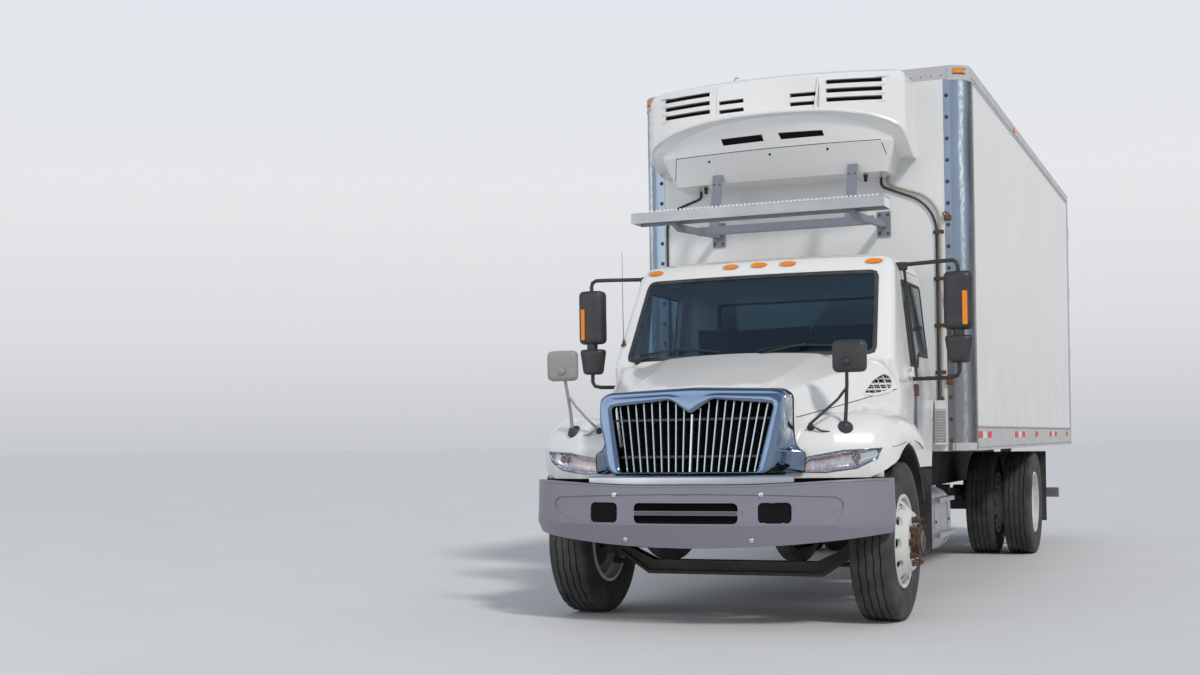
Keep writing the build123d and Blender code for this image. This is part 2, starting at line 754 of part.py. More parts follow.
# Refrigeration unit on the front wall: a bowed cowl over a base that slopes back
unit_left_x = 907
unit_right_x = -1087
unit_bottom = 3140
unit_mid_x = (unit_left_x + unit_right_x) / 2
unit_half = (unit_left_x - unit_right_x) / 2
unit_back = box_front_station - seat_gap
cowl_bottom = 3250
cowl_levels = [
    # z, half width, front middle station, front end station
    (cowl_bottom, unit_half, 2200, 2390),
    (3790, unit_half, 2200, 2390),
    (3850, unit_half - 25, 2225, 2415),
    (3880, unit_half - 70, 2300, 2480),
]
base_levels = [
    # z, half width, front middle station, front end station
    (unit_bottom, 830, 2465, 2500),
    (3350, 910, 2330, 2425),
    (3620, 960, 2212, 2400),
]
cheek_x = 400
cheek_step = 18
slot_depth = 70
cowl_slots = [
    # from x, to x, middle z, height, all from the unit's middle
    (448, 842, 3783, 33),
    (448, 842, 3718, 33),
    (448, 842, 3652, 33),
    (178, 378, 3707, 30),
    (178, 378, 3641, 30),
]


def unit_plan(z, half, front, end, corner=70):
    """Plan outline of the unit at a height, with a bowed front."""
    with BuildSketch(level(z)) as plan:
        with BuildLine():
            right, left = unit_mid_x - half, unit_mid_x + half
            ThreePointArc((right, at(end)), (unit_mid_x, at(front)), (left, at(end)))
            Polyline((left, at(end)), (left, at(unit_back)), (right, at(unit_back)), (right, at(end)))
        make_face()
        fillet(vertices().group_by(Axis.Y)[0], corner)
    return plan.sketch


def cowl_space(gap, mode):
    """Space under the cowl's lower edge, which falls in an S from the front to the wall."""
    with BuildSketch(lengthwise(unit_right_x - 100)) as space:
        with BuildLine():
            Line((at(2150), 3000), (at(2150), 3590 - gap))
            Line((at(2150), 3590 - gap), (at(2195), 3585 - gap))
            ThreePointArc((at(2195), 3585 - gap), (at(2310), 3520 - gap), (at(2400), 3405 - gap))
            ThreePointArc((at(2400), 3405 - gap), (at(2520), 3300 - gap), (at(2700), 3262 - gap))
            Polyline((at(2700), 3262 - gap), (at(2900), 3262 - gap), (at(2900), 3000), (at(2150), 3000))
        make_face()
    extrude(space.sketch, amount=2 * unit_half + 300, mode=mode)


with BuildPart() as cowl_cuts:
    for x0, x1, z, height in cowl_slots:
        for side in (1, -1):
            edge = sorted((unit_mid_x + side * x0, unit_mid_x + side * x1))
            box(*edge, 2150, 2600, z - height / 2, z + height / 2)
    extrude(unit_plan(cowl_bottom, unit_half, 2200 + slot_depth, 2390 + slot_depth),
            amount=700, mode=Mode.SUBTRACT)

with BuildPart() as cowl_recess:
    box(unit_mid_x - cheek_x, unit_mid_x + cheek_x, 2150, 2500, cowl_bottom - 10, 3900)
    extrude(unit_plan(cowl_bottom - 20, unit_half, 2200 + cheek_step, 2390 + cheek_step),
            amount=700, mode=Mode.SUBTRACT)

with BuildPart() as unit_shell:
    loft([unit_plan(*row) for row in cowl_levels], ruled=True)
    cowl_space(0, Mode.SUBTRACT)
    add(cowl_recess.part, mode=Mode.SUBTRACT)
    add(cowl_cuts.part, mode=Mode.SUBTRACT)

base_slots = [
    # corner points of a slanted slot in the front face
    [(-478, 3448), (-150, 3452), (-140, 3405), (-466, 3400)],
    [(-24, 3452), (308, 3448), (318, 3408), (-8, 3405)],
]

with BuildPart() as unit_base:
    loft([unit_plan(*row, corner=40) for row in base_levels], ruled=True)
    cowl_space(seat_gap, Mode.INTERSECT)
    for points in base_slots:
        front_profile(points, 2150, 2345, Mode.SUBTRACT)

# Lines from the unit down the front wall, two of them into a small junction box
line_station = box_front_station - 10
line_routes = [
    # tube radius, points as (x, z) on the wall
    (9, [(690, 3139.7), (690, 3080), (1078, 2945), (1078, 1440.3)]),
    (9, [(640, 3139.7), (640, 3070), (1050, 2900), (1050, 1440.3)]),
    (9, [(-800, 3139.7), (-800, 3085), (-1090, 2990), (-1090, 1062)]),
]


def bend_radii(points):
    """Largest tangent arcs that a route's runs allow, one for each corner."""
    radii = []
    for (x0, z0), (x1, z1), (x2, z2) in zip(points, points[1:], points[2:]):
        run_in, run_out = hypot(x1 - x0, z1 - z0), hypot(x2 - x1, z2 - z1)
        turn = Vector(x1 - x0, z1 - z0).get_angle(Vector(x2 - x1, z2 - z1))
        radii.append(0.45 * min(run_in, run_out) / tan(radians(turn / 2)))
    return radii


with BuildPart() as unit_lines:
    for radius, points in line_routes:
        radii = bend_radii(points)
        print("line bends", [round(r) for r in radii])
        tube_path([(x, line_station + seat_gap, z) for x, z in points], radii, radius)

with BuildPart() as junction_box:
    box(1022, 1108, box_front_station - 45, box_front_station - seat_gap, 1110, 1440)

# Service walkway in front of the unit
plank_front = 1650
plank_back = 1850
plank_bottom = 2755
plank_top = 2830

with BuildPart() as walkway_plank:
    box(-960, 900, plank_front, plank_back, plank_bottom, plank_top)
    box(-961, 901, plank_front + 5, plank_back - 5, plank_bottom - 1, plank_top - 5, Mode.SUBTRACT)

with BuildPart() as walkway_arms:
    for side in (1, -1):
        x = side * 656
        under = plank_bottom - seat_gap
        side_profile([(1700, 2744), (1700, under), (plank_back + 2, under), (2772, 2800), (2772, 2760),
                      (1860, 2705)], x - 20, x + 20)
        box(x - 50, x + 50, 2768, box_front_station - seat_gap, 2690, 2880)
    box(-676, 676, 2300, 2360, 2730, 2790)
    for x in (-550, 500):
        side_profile([(2325, 2780), (2340, 2780), (2450, 3200), (2435, 3200)], x - 38, x + 38)
    plans = []
    for z, half, front, end in base_levels:
        plans.append(unit_plan(z, half + seat_gap, front - seat_gap, end - seat_gap, 40))
    loft(plans, ruled=True, mode=Mode.SUBTRACT)

# Marker lamps that follow the roof's front edge
roof_lamps = [
    # middle x, middle z
    (805, 2395),
    (210, 2402),
    (0, 2404),
    (-210, 2402),
    (-805, 2395),
]
lamp_height = 14
marker_x = (1190, 1262)
marker_z = (3878, 3910)
side_marker_station = 5280


def box_front(z, grow):
    """Plan outline of the load box's front, with its rounded corners, moved outwards."""
    with BuildSketch(level(z)) as plan:
        with BuildLine():
            x, front, back = box_half_width + grow, at(box_front_station - grow), at(side_front + 200)
            Polyline((-x, back), (-x, front), (x, front), (x, back), close=True)
        make_face()
        fillet(vertices().group_by(Axis.Y)[0], post_radius + grow)
    return plan.sketch


with BuildPart() as corner_markers:
    extrude(box_front(marker_z[0], lamp_height), amount=marker_z[1] - marker_z[0])
    extrude(box_front(marker_z[0], seat_gap), amount=marker_z[1] - marker_z[0], mode=Mode.SUBTRACT)
    box(marker_x[0], marker_x[1], box_front_station - 50, side_front, *marker_z, Mode.INTERSECT)

with BuildPart() as lamps:
    cab_block(-lamp_height, cab_bottom, 0)
    cab_block(-seat_gap, cab_bottom - 1, 0, Mode.SUBTRACT)
    with BuildSketch(across(1900)):
        for x, z in roof_lamps:
            with Locations((x, z)):
                Ellipse(58, 17)
    extrude(amount=400, mode=Mode.INTERSECT)
    both_sides(corner_markers.part)
    for side in (1, -1):
        box(side * (box_half_width + seat_gap), side * (box_half_width + lamp_height),
            side_marker_station - 38, side_marker_station + 38, *marker_z)

# Mud flaps behind the wheels
with BuildPart() as mud_flaps:
    for side in (1, -1):
        box(side * 610, side * 1210, 8000, 8010, 270, 1000)
        box(side * (frame_half_width + seat_gap), side * 1210, 7996, 8014, 930, 960)
        box(side * 560, side * 1180, 1700, 1712, 390, cab_bottom - seat_gap)

# Hood: centre body and fenders in one tilting shell
hood_wall = 14
hood_gap = 12
hood_back_station = 1416
hood_bottom = 930
hood_sections = [
    # station, half widths of seam, shoulder and bulge, z of seam, shoulder, bulge and middle, rounding
    (290, (606, 588, 470), (1288, 1440, 1478, 1492), 60),
    (800, (810, 745, 490), (1392, 1560, 1618, 1642), 90),
    (hood_back_station, (1030, 955, 530), (1494, 1690, 1780, 1808), 110),
]


def hood_body(inset, bottom, back_extra=0):
    """Centre body of the hood with its raised middle, lofted along the truck."""
    sections = []
    last = hood_sections[-1][0]
    for station, halves, heights, rounding in hood_sections:
        place = station + (back_extra if station == last else inset)
        seam, shoulder, bulge = halves[0] - inset, halves[1] - inset, halves[2] - inset / 2
        seam_z, shoulder_z, bulge_z, middle_z = heights[0], *[z - inset for z in heights[1:]]
        side = [(seam, bottom), (seam, seam_z), (shoulder, shoulder_z), (bulge, bulge_z)]
        other = [(-x, z) for x, z in reversed(side)]
        with BuildSketch(across(place)) as section:
            with BuildLine():
                Polyline(*side)
                ThreePointArc(side[-1], (0, middle_z), other[0])
                Polyline(*other)
                Line(other[-1], side[0])
            make_face()
            corners = vertices().filter_by(lambda v: v.Y > seam_z + 1)
            fillet(corners, rounding)
        sections.append(section.sketch)
    loft(sections, ruled=True)


fender_sections = [
    # x, front station, shelf z above the lamp, crest z, back z, back station
    (560, 292, 1110, 1300, 1400, hood_back_station),
    (850, 345, 1112, 1325, 1400, hood_back_station),
    (1050, 440, 1114, 1318, 1300, hood_back_station),
    (1135, 512, 1110, 1284, 1245, hood_back_station),
    (1178, 575, 1100, 1226, 1180, hood_back_station),
    (1190, 620, 1085, 1165, 1115, hood_back_station),
]


def fender_body(inset, bottom):
    """Left fender, lofted outwards from the hood's side."""
    sections = []
    last = fender_sections[-1][0]
    for x, front, shelf_z, crest_z, back_z, back in fender_sections:
        with BuildSketch(lengthwise(x - (inset if x == last else 0))) as section:
            f, b = at(front + inset), at(back + (30 if inset else 0))
            shelf, crest, tail = shelf_z - inset, crest_z - inset, back_z - inset
            with BuildLine():
                Line((f, bottom), (f, shelf))
                ThreePointArc((f, shelf), (f + 60, (shelf + crest) / 2 + 20), (f + 200, crest))
                ThreePointArc((f + 200, crest), (at(950), crest + 15), (b, tail))
                Line((b, tail), (b, bottom))
                Line((b, bottom), (f, bottom))
            make_face()
        sections.append(section.sketch)
    loft(sections, ruled=True)


with BuildPart() as fender_outer:
    fender_body(0, hood_bottom)
with BuildPart() as fender_inner:
    fender_body(hood_wall, hood_bottom - 20)
with BuildPart() as hood_outer:
    hood_body(0, hood_bottom)
    both_sides(fender_outer.part)
with BuildPart() as hood_inner:
    hood_body(hood_wall, hood_bottom - 20, 30)
    both_sides(fender_inner.part)

lamp_outline = [(640, 962), (690, 1060), (900, 1098), (1115, 1108), (1090, 1040), (980, 982), (800, 958)]
grille_outline = [(-530, 1385), (-445, 975), (445, 975), (530, 1385), (135, 1420), (0, 1330), (-135, 1420)]

vent_outline = [(1010, 1458), (1150, 1458), (1320, 1486), (1370, 1530), (1366, 1576), (1310, 1592),
                (1180, 1548)]

with BuildPart() as vent_cells:
    side_profile(vent_outline, 700, 1100)
    for z in (1482, 1516, 1550):
        side_profile([(1000, z - 5), (1400, z + 5), (1400, z + 15), (1000, z + 5)], 690, 1110, Mode.SUBTRACT)
    for station in (1090, 1160, 1230, 1300):
        box(690, 1110, station - 4, station + 4, 1400, 1700, Mode.SUBTRACT)

with BuildPart() as hood_shell:
    add(hood_outer.part)
    add(hood_inner.part, mode=Mode.SUBTRACT)
    cab_block(-hood_gap, hood_bottom - 30, 0, Mode.SUBTRACT)
    front_profile([(-560, hood_bottom - 10), (560, hood_bottom - 10), (560, 1430), (-560, 1430)], 200, 500,
                  Mode.SUBTRACT)
    for side in (1, -1):
        with BuildSketch(lengthwise(side * 1000)):
            with BuildLine():
                Line((at(500), hood_bottom - 10), (at(500), 968))
                ThreePointArc((at(500), 968), (at(1060), 1148), (at(1650), 975))
                Line((at(1650), 975), (at(1650), hood_bottom - 10))
                Line((at(1650), hood_bottom - 10), (at(500), hood_bottom - 10))
            make_face()
        extrude(amount=side * 300, mode=Mode.SUBTRACT)
        front_profile([(side * x, z) for x, z in lamp_outline], 200, 640, Mode.SUBTRACT)
    add(vent_cells.part, mode=Mode.SUBTRACT)
    mirror(vent_cells.part, about=Plane.YZ, mode=Mode.SUBTRACT)
    box(-850, 850, 345, 375, hood_bottom, hood_bottom + 25)
    for side in (1, -1):
        arm_low, arm_high = pivot_arm_x - pivot_arm_thickness / 2, pivot_arm_x + pivot_arm_thickness / 2
        side_profile([(85, 740), (335, 825), (345, hood_bottom + 10), (375, hood_bottom + 10), (365, 800),
                      (105, 700)], side * arm_low, side * arm_high)
        rod((side * (pivot_arm_x - 10), hood_pivot_station, hood_pivot_height),
            (side * (pivot_arm_x + 10), hood_pivot_station, hood_pivot_height), 25)
        rod((side * (pivot_arm_x - 20), hood_pivot_station, hood_pivot_height),
            (side * (pivot_arm_x + 20), hood_pivot_station, hood_pivot_height),
            pivot_pin_radius + seat_gap, Mode.SUBTRACT)

with BuildPart() as lamp_left:
    add(hood_outer.part)
    add(hood_inner.part, mode=Mode.SUBTRACT)
    front_profile(lamp_outline, 200, 640, Mode.INTERSECT, -seat_gap)
with BuildPart() as headlights:
    both_sides(lamp_left.part)

grille_tilt = degrees(atan2(80, 405))
grille_normal = (0, -cos(radians(grille_tilt)), sin(radians(grille_tilt)))
grille_plane = Plane(origin=(0, at(125), 1180), x_dir=(1, 0, 0), z_dir=grille_normal)

surround_rim = [(-640, 962), (640, 962), (618, 1110), (618, 1440), (560, 1478), (0, 1494), (-560, 1478),
                (-618, 1440), (-618, 1110)]
surround_face = [(-505, -218), (505, -218), (545, -60), (592, 230), (560, 272), (0, 288), (-560, 272),
                 (-592, 230), (-545, -60)]
wing_outline = [(560, 962), (684, 962), (686, 1085), (560, 1120)]

with BuildPart() as grille_surround:
    with BuildSketch(across(290 - seat_gap)):
        outline(surround_rim)
    with BuildSketch(grille_plane):
        outline(surround_face)
    loft(ruled=True)
    for side in (1, -1):
        front_profile([(side * x, z) for x, z in wing_outline], 262, 290 - seat_gap)
    front_profile(grille_outline, 0, 500, Mode.SUBTRACT)

bar_count = 9
bar_depth = 30
bar_bottom_station = 130
bar_top_station = 205
bar_bottom = 970
bar_top = 1430

with BuildPart() as grille_bars:
    for n in range(-bar_count, bar_count + 1):
        top_x = n * 518 / (bar_count + 0.5)
        bottom_x = n * 435 / (bar_count + 0.5)
        half = 14 if n == 0 else 8
        front_profile([(bottom_x - half, bar_bottom), (bottom_x + half, bar_bottom),
                       (top_x + half, bar_top), (top_x - half, bar_top)], 50, 300)
    side_profile([(bar_bottom_station, bar_bottom), (bar_bottom_station + bar_depth, bar_bottom),
                  (bar_top_station + bar_depth, bar_top), (bar_top_station, bar_top)],
                 -700, 700, Mode.INTERSECT)
    for z in (1060, 1290):
        lean = (bar_top_station - bar_bottom_station) / (bar_top - bar_bottom)
        back = bar_bottom_station + lean * (z - bar_bottom)
        box(-600, 600, back + bar_depth - 12, back + bar_depth, z, z + 18)
    front_profile(grille_outline, 0, 500, Mode.INTERSECT, -seat_gap)

# Mirrors on the hood and on the doors
with BuildPart() as hood_mirror_left:
    with Locations((950, at(360), 1666)):
        Box(210, 56, 200)
    fillet(edges(), 26)
    rod((904, 414, 1206), (940, 385, 1640), 11)
    rod((698, 345, 1252), (926, 396, 1475), 9)
    rod((698, 345, 1250), (904, 414, 1222), 6)
    with Locations((904, at(414), 1196)):
        Sphere(46)
    with Locations((698, at(345), 1240)):
        Sphere(24)
    add(hood_outer.part.moved(Location((0, 0, seat_gap))), mode=Mode.SUBTRACT)
with BuildPart() as hood_mirrors:
    both_sides(hood_mirror_left.part)

mirror_x = 1360
mirror_station = 1835

with BuildPart() as mirror_left:
    with Locations((mirror_x, at(mirror_station), 2100)):
        Box(200, 116, 400)
    fillet(edges(), 34)
    lower_head = [(98, 1862), (90, 1700), (66, 1672)]
    front_profile([(mirror_x - x, z) for x, z in lower_head] +
                  [(mirror_x + x, z) for x, z in reversed(lower_head)],
                  mirror_station - 54, mirror_station + 54)
    rod((mirror_x, mirror_station, 1850), (mirror_x, mirror_station, 1910), 40)
    tube_path([(925, 1937, 2316), (1030, 1930, 2378), (mirror_x, mirror_station, 2378),
               (mirror_x, mirror_station, 2280)], (40, 60), 14)
    tube_path([(985, 1960, 1575), (mirror_x, mirror_station, 1575), (mirror_x, mirror_station, 1700)],
              (60,), 14)
    rod((992, 1932, 2356), (1050, 1938, 1575), 9)
    box(1000, 1060, 1942, 1976, 1540, 1606)
    cab_block(-seat_gap, cab_bottom, 0, Mode.SUBTRACT)
with BuildPart() as mirror_right:
    mirror(mirror_left.part, about=Plane.YZ)

# Wheels: tyre and rim profiles turned about the axle
def tyre(centre_x, axle_station):
    """Tyre turned about its axle, in the open part."""
    centre = (centre_x, at(axle_station), tyre_radius)
    plane = Plane(origin=centre, x_dir=(1, 0, 0), z_dir=(0, -1, 0))
    bead = bead_radius + seat_gap
    with BuildSketch(plane) as profile:
        with BuildLine():
            half = rim_half_width - seat_gap
            low = flange_radius + 4
            right = [(half, bead), (half, low), (tyre_half_section, 405), (tread_half_width, tyre_radius)]
            Polyline(*right, *[(-x, r) for x, r in reversed(right)], close=True)
        make_face()
    revolve(profile.sketch, axis=Axis((centre_x, at(axle_station), tyre_radius), (1, 0, 0)))


def rim(centre_x, axle_station, outward):
    """Rim with drop centre and disc; outward is the X direction in which its disc stands out."""
    centre = (centre_x, at(axle_station), tyre_radius)
    plane = Plane(origin=centre, x_dir=(outward, 0, 0), z_dir=(0, -outward, 0))
    face = disc_offset + disc_thickness
    w = rim_half_width
    edge = w + flange_thickness
    with BuildSketch(plane) as profile:
        outline([(-edge, flange_radius), (-w, flange_radius), (-w, bead_radius), (-60, bead_radius), (-45, 262),
                 (20, 262), (45, bead_radius), (w, bead_radius), (w, flange_radius), (edge, flange_radius),
                 (edge, 280), (60, 276), (30, 252), (-52, 252), (-68, 276), (-edge, 280)])
        outline([(70, 280), (82, 276), (disc_offset - 8, 196), (face, 182), (face, 110),
                 (disc_offset, 110), (disc_offset, 178), (disc_offset - 22, 190), (50, 272)])
    revolve(profile.sketch, axis=Axis(centre, (1, 0, 0)))
    hole_plane = Plane(origin=centre, x_dir=(0, 1, 0), z_dir=(outward, 0, 0))
    with BuildSketch(hole_plane.offset(edge - 70)) as holes:
        with PolarLocations(232, 10):
            SlotOverall(62, 40, rotation=90)
    extrude(holes.sketch, amount=120, mode=Mode.SUBTRACT)


def turned(axle_station, x0, x1, radius, mode=Mode.ADD):
    """Drum on an axle's line from x0 to x1."""
    rod((x0, axle_station, tyre_radius), (x1, axle_station, tyre_radius), radius, mode)


def nuts(face_x, axle_station, outward):
    """Ring of wheel nuts that stands on a disc's face."""
    centre = (face_x, at(axle_station), tyre_radius)
    plane = Plane(origin=centre, x_dir=(0, 1, 0), z_dir=(outward, 0, 0))
    with BuildSketch(plane) as ring:
        with PolarLocations(stud_circle / 2, stud_count):
            RegularPolygon(nut_radius, 6)
    extrude(ring.sketch, amount=nut_height)


with BuildPart() as rim_front_left:
    rim(front_track_half, front_axle_station, 1)
    face = front_track_half + disc_offset + disc_thickness
    nuts(face, front_axle_station, 1)
    turned(front_axle_station, face - 32, face - disc_thickness, 165)
    turned(front_axle_station, 1006, face - 32, hub_radius)
    turned(front_axle_station, 1006, 1100, drum_radius)
    turned(front_axle_station, face - 12, face + 45, hub_radius)
    turned(front_axle_station, face + 45, face + 62, hub_cap_radius)
    turned(front_axle_station, 1000, 1136, spindle_radius + seat_gap, Mode.SUBTRACT)
with BuildPart() as rim_front_right:
    mirror(rim_front_left.part, about=Plane.YZ)

with BuildPart() as tyre_front_left:
    tyre(front_track_half, front_axle_station)
with BuildPart() as tyre_front_right:
    tyre(-front_track_half, front_axle_station)

rear_disc_x = 915
twin_inner_x = rear_disc_x - disc_offset
twin_outer_x = rear_disc_x + disc_offset

with BuildPart() as rims_rear_left:
    rim(twin_inner_x - seat_gap, rear_axle_station, 1)
    rim(twin_outer_x + 2 * disc_thickness, rear_axle_station, -1)
    face = rear_disc_x + 2 * disc_thickness
    nuts(face, rear_axle_station, 1)
    turned(rear_axle_station, rear_disc_x - 22, rear_disc_x, 165)
    turned(rear_axle_station, rear_drum_x[0], rear_disc_x, hub_radius)
    turned(rear_axle_station, rear_drum_x[0], rear_drum_x[1], drum_radius)
    turned(rear_axle_station, rear_disc_x - 5, face + 95, hub_radius)
    turned(rear_axle_station, face + 95, face + 110, hub_radius + 14)
    turned(rear_axle_station, rear_drum_x[0] - 2, 806, rear_spindle_radius + seat_gap, Mode.SUBTRACT)
with BuildPart() as rims_rear_right:
    mirror(rims_rear_left.part, about=Plane.YZ)

with BuildPart() as tyres_rear_left:
    tyre(twin_inner_x - seat_gap, rear_axle_station)
    tyre(twin_outer_x + 2 * disc_thickness, rear_axle_station)
with BuildPart() as tyres_rear_right:
    mirror(tyres_rear_left.part, about=Plane.YZ)

pieces = {
    "frame": frame,
    "bumper": bumper,
    "front_axle": front_axle,
    "knuckle_left": knuckle_left,
    "knuckle_right": knuckle_right,
    "tie_rod": tie_rod,
    "leaf_springs": leaf_springs,
    "rear_axle": rear_axle,
    "engine": engine,
    "radiator": radiator,
    "driveline": driveline,
    "tanks": tanks,
    "battery_box": battery_box,
    "exhaust": exhaust,
    "cab_shell": cab_shell,
    "cab_glass": cab_glass,
    "door_left": door_left,
    "door_right": door_right,
    "door_glass_left": door_glass_left,
    "door_glass_right": door_glass_right,
    "mirror_left": mirror_left,
    "mirror_right": mirror_right,
    "dashboard": dashboard,
    "seats": seats,
    "lamps": lamps,
    "box_sides": box_sides,
    "box_front_wall": box_front_wall,
    "corner_posts": corner_posts,
    "box_floor": box_floor,
    "floor_sills": floor_sills,
    "box_rails": box_rails,
    "box_roof": box_roof,
    "rear_frame": rear_frame,
    "rear_lamps": rear_lamps,
    "rear_door_left": rear_door_left,
    "rear_door_right": rear_door_right,
    "unit_shell": unit_shell,
    "unit_base": unit_base,
    "unit_lines": unit_lines,
    "junction_box": junction_box,
    "walkway_plank": walkway_plank,
    "walkway_arms": walkway_arms,
    "mud_flaps": mud_flaps,
    "hood_shell": hood_shell,
    "headlights": headlights,
    "grille_surround": grille_surround,
    "grille_bars": grille_bars,
    "hood_mirrors": hood_mirrors,
    "rim_front_left": rim_front_left,
    "rim_front_right": rim_front_right,
    "tyre_front_left": tyre_front_left,
    "tyre_front_right": tyre_front_right,
    "rims_rear_left": rims_rear_left,
    "rims_rear_right": rims_rear_right,
    "tyres_rear_left": tyres_rear_left,
    "tyres_rear_right": tyres_rear_right,
}

os.makedirs("parts", exist_ok=True)
for label, piece in pieces.items():
    piece.part.label = label
    export_step(piece.part, f"parts/{label}.step")
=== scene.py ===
import json
from math import atan2, cos, pi, radians, sin, sqrt

import bmesh
import bpy
from mathutils import Matrix, Vector
from mathutils.bvhtree import BVHTree


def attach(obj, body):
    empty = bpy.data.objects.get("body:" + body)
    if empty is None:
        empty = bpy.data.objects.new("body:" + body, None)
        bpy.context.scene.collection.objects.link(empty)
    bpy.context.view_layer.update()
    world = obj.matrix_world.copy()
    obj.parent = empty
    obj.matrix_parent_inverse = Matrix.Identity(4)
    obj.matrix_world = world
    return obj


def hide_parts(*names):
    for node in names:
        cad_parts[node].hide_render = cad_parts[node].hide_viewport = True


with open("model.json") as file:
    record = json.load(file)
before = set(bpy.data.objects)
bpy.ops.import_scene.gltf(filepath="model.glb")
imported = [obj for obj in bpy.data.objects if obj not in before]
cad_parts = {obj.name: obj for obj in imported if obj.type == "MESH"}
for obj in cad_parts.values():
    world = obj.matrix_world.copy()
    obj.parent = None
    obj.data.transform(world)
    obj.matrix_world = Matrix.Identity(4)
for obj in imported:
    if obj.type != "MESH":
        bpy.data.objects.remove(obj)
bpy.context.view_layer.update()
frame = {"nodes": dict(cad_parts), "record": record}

# Refrigerated truck in metres: +Z is up and the truck faces -Y, so +X is the driver's side.
# A station is a distance back from the bumper's face.
nodes = frame["nodes"]
scene = bpy.context.scene
LENGTH = 9.85
SIDES = ((1, "left"), (-1, "right"))
FORE, AFT, UP, DOWN = (0, -1, 0), (0, 1, 0), (0, 0, 1), (0, 0, -1)


def at(station):
    """Y of a station."""
    return station - LENGTH / 2


def P(x, station, z):
    """World point of a place given by its station."""
    return Vector((x, at(station), z))


def steps(a, b, count):
    """Even values from a to b, with both ends."""
    return [a + (b - a) * k / count for k in range(count + 1)]


# ---------------------------------------------------------------- camera, fitted to the photograph
IMAGE_W, IMAGE_H = 1200, 675
FOCAL_PX = 1534.197
CENTRE_PX = (600.0, 428.0)
YAW, PITCH, ROLL = radians(22.7405), radians(0.4958), radians(-0.8241)
EYE = P(3.139059, -8.773815, 1.171212)

ahead = Vector((-sin(YAW) * cos(PITCH), cos(YAW) * cos(PITCH), sin(PITCH)))
level = Vector((cos(YAW), sin(YAW), 0.0))
raised = level.cross(ahead)
cam_data = bpy.data.cameras.new("camera")
cam_data.sensor_fit = "HORIZONTAL"
cam_data.sensor_width = 36.0
cam_data.lens = FOCAL_PX / IMAGE_W * cam_data.sensor_width
cam_data.shift_x = (IMAGE_W / 2 - CENTRE_PX[0]) / IMAGE_W
cam_data.shift_y = (CENTRE_PX[1] - IMAGE_H / 2) / IMAGE_W
cam_data.clip_start, cam_data.clip_end = 0.1, 400
camera = bpy.data.objects.new("camera", cam_data)
axes = (level * cos(ROLL) + raised * sin(ROLL), raised * cos(ROLL) - level * sin(ROLL), -ahead)
camera.matrix_world = Matrix.Translation(EYE) @ Matrix(axes).transposed().to_4x4()
scene.collection.objects.link(camera)
scene.camera = camera


# ---------------------------------------------------------------- sky and lamps
def add(tree, kind, values=None, **settings):
    """Shader node with its settings; an input takes a value, or a link where it is given a socket."""
    node = tree.nodes.new("ShaderNode" + kind)
    for name, value in settings.items():
        setattr(node, name, value)
    for key, value in (values or {}).items():
        if isinstance(value, bpy.types.NodeSocket):
            tree.links.new(value, node.inputs[key])
        else:
            node.inputs[key].default_value = value
    return node


# What the camera and reflections see of the sky: (height from 0 at the bottom to 1 at the top, colour)
SKY = ((0.500, (0.575, 0.590, 0.610)), (0.535, (0.71, 0.72, 0.74)), (0.58, (0.79, 0.80, 0.82)),
       (0.64, (0.76, 0.79, 0.84)), (0.76, (0.42, 0.50, 0.64)), (0.95, (0.20, 0.27, 0.40)))
scene.world = bpy.data.worlds.new("world")
scene.world.use_nodes = True
sky = scene.world.node_tree
sky.nodes.clear()
heading = add(sky, "SeparateXYZ", {0: add(sky, "TexCoord").outputs["Generated"]})
height = add(sky, "MapRange", {"Value": heading.outputs["Z"], "From Min": -1, "From Max": 1})
ramp = add(sky, "ValToRGB", {"Fac": height.outputs["Result"]})
stops = ramp.color_ramp.elements
stops[0].position, stops[1].position = SKY[0][0], SKY[-1][0]
for place, _ in SKY[1:-1]:
    stops.new(place)
for stop, (_, color) in zip(stops, SKY):
    stop.color = (*color, 1)
path = add(sky, "LightPath").outputs
shown = path["Is Camera Ray"]
for kind in ("Is Glossy Ray", "Is Transmission Ray"):
    shown = add(sky, "Math", {0: shown, 1: path[kind]}, operation="MAXIMUM").outputs["Value"]
soft = add(sky, "Background", {"Color": (0.86, 0.92, 1.0, 1), "Strength": 0.50})
seen = add(sky, "Background", {"Color": ramp.outputs["Color"]})
both = add(sky, "MixShader", {0: shown, 1: soft.outputs["Background"], 2: seen.outputs["Background"]})
add(sky, "OutputWorld", {"Surface": both.outputs["Shader"]})


def lamp(name, kind, place, aim, energy, color=(1, 1, 1), **shape):
    """A soft lamp at a place, turned towards a point."""
    data = bpy.data.lights.new(name, kind)
    data.energy, data.color = energy, color
    for key, value in shape.items():
        setattr(data, key, value)
    made = bpy.data.objects.new(name, data)
    made.location = place
    made.rotation_mode = "QUATERNION"
    made.rotation_quaternion = (Vector(aim) - Vector(place)).to_track_quat("-Z", "Y")
    scene.collection.objects.link(made)


lamp("key", "SUN", (9.5, -10.5, 12), (0, -2, 1), 1.80, (1.0, 0.965, 0.92), angle=radians(8))
lamp("fill", "AREA", (-8, -15, 6), (0.0, -3, 1.8), 330, shape="DISK", size=12)


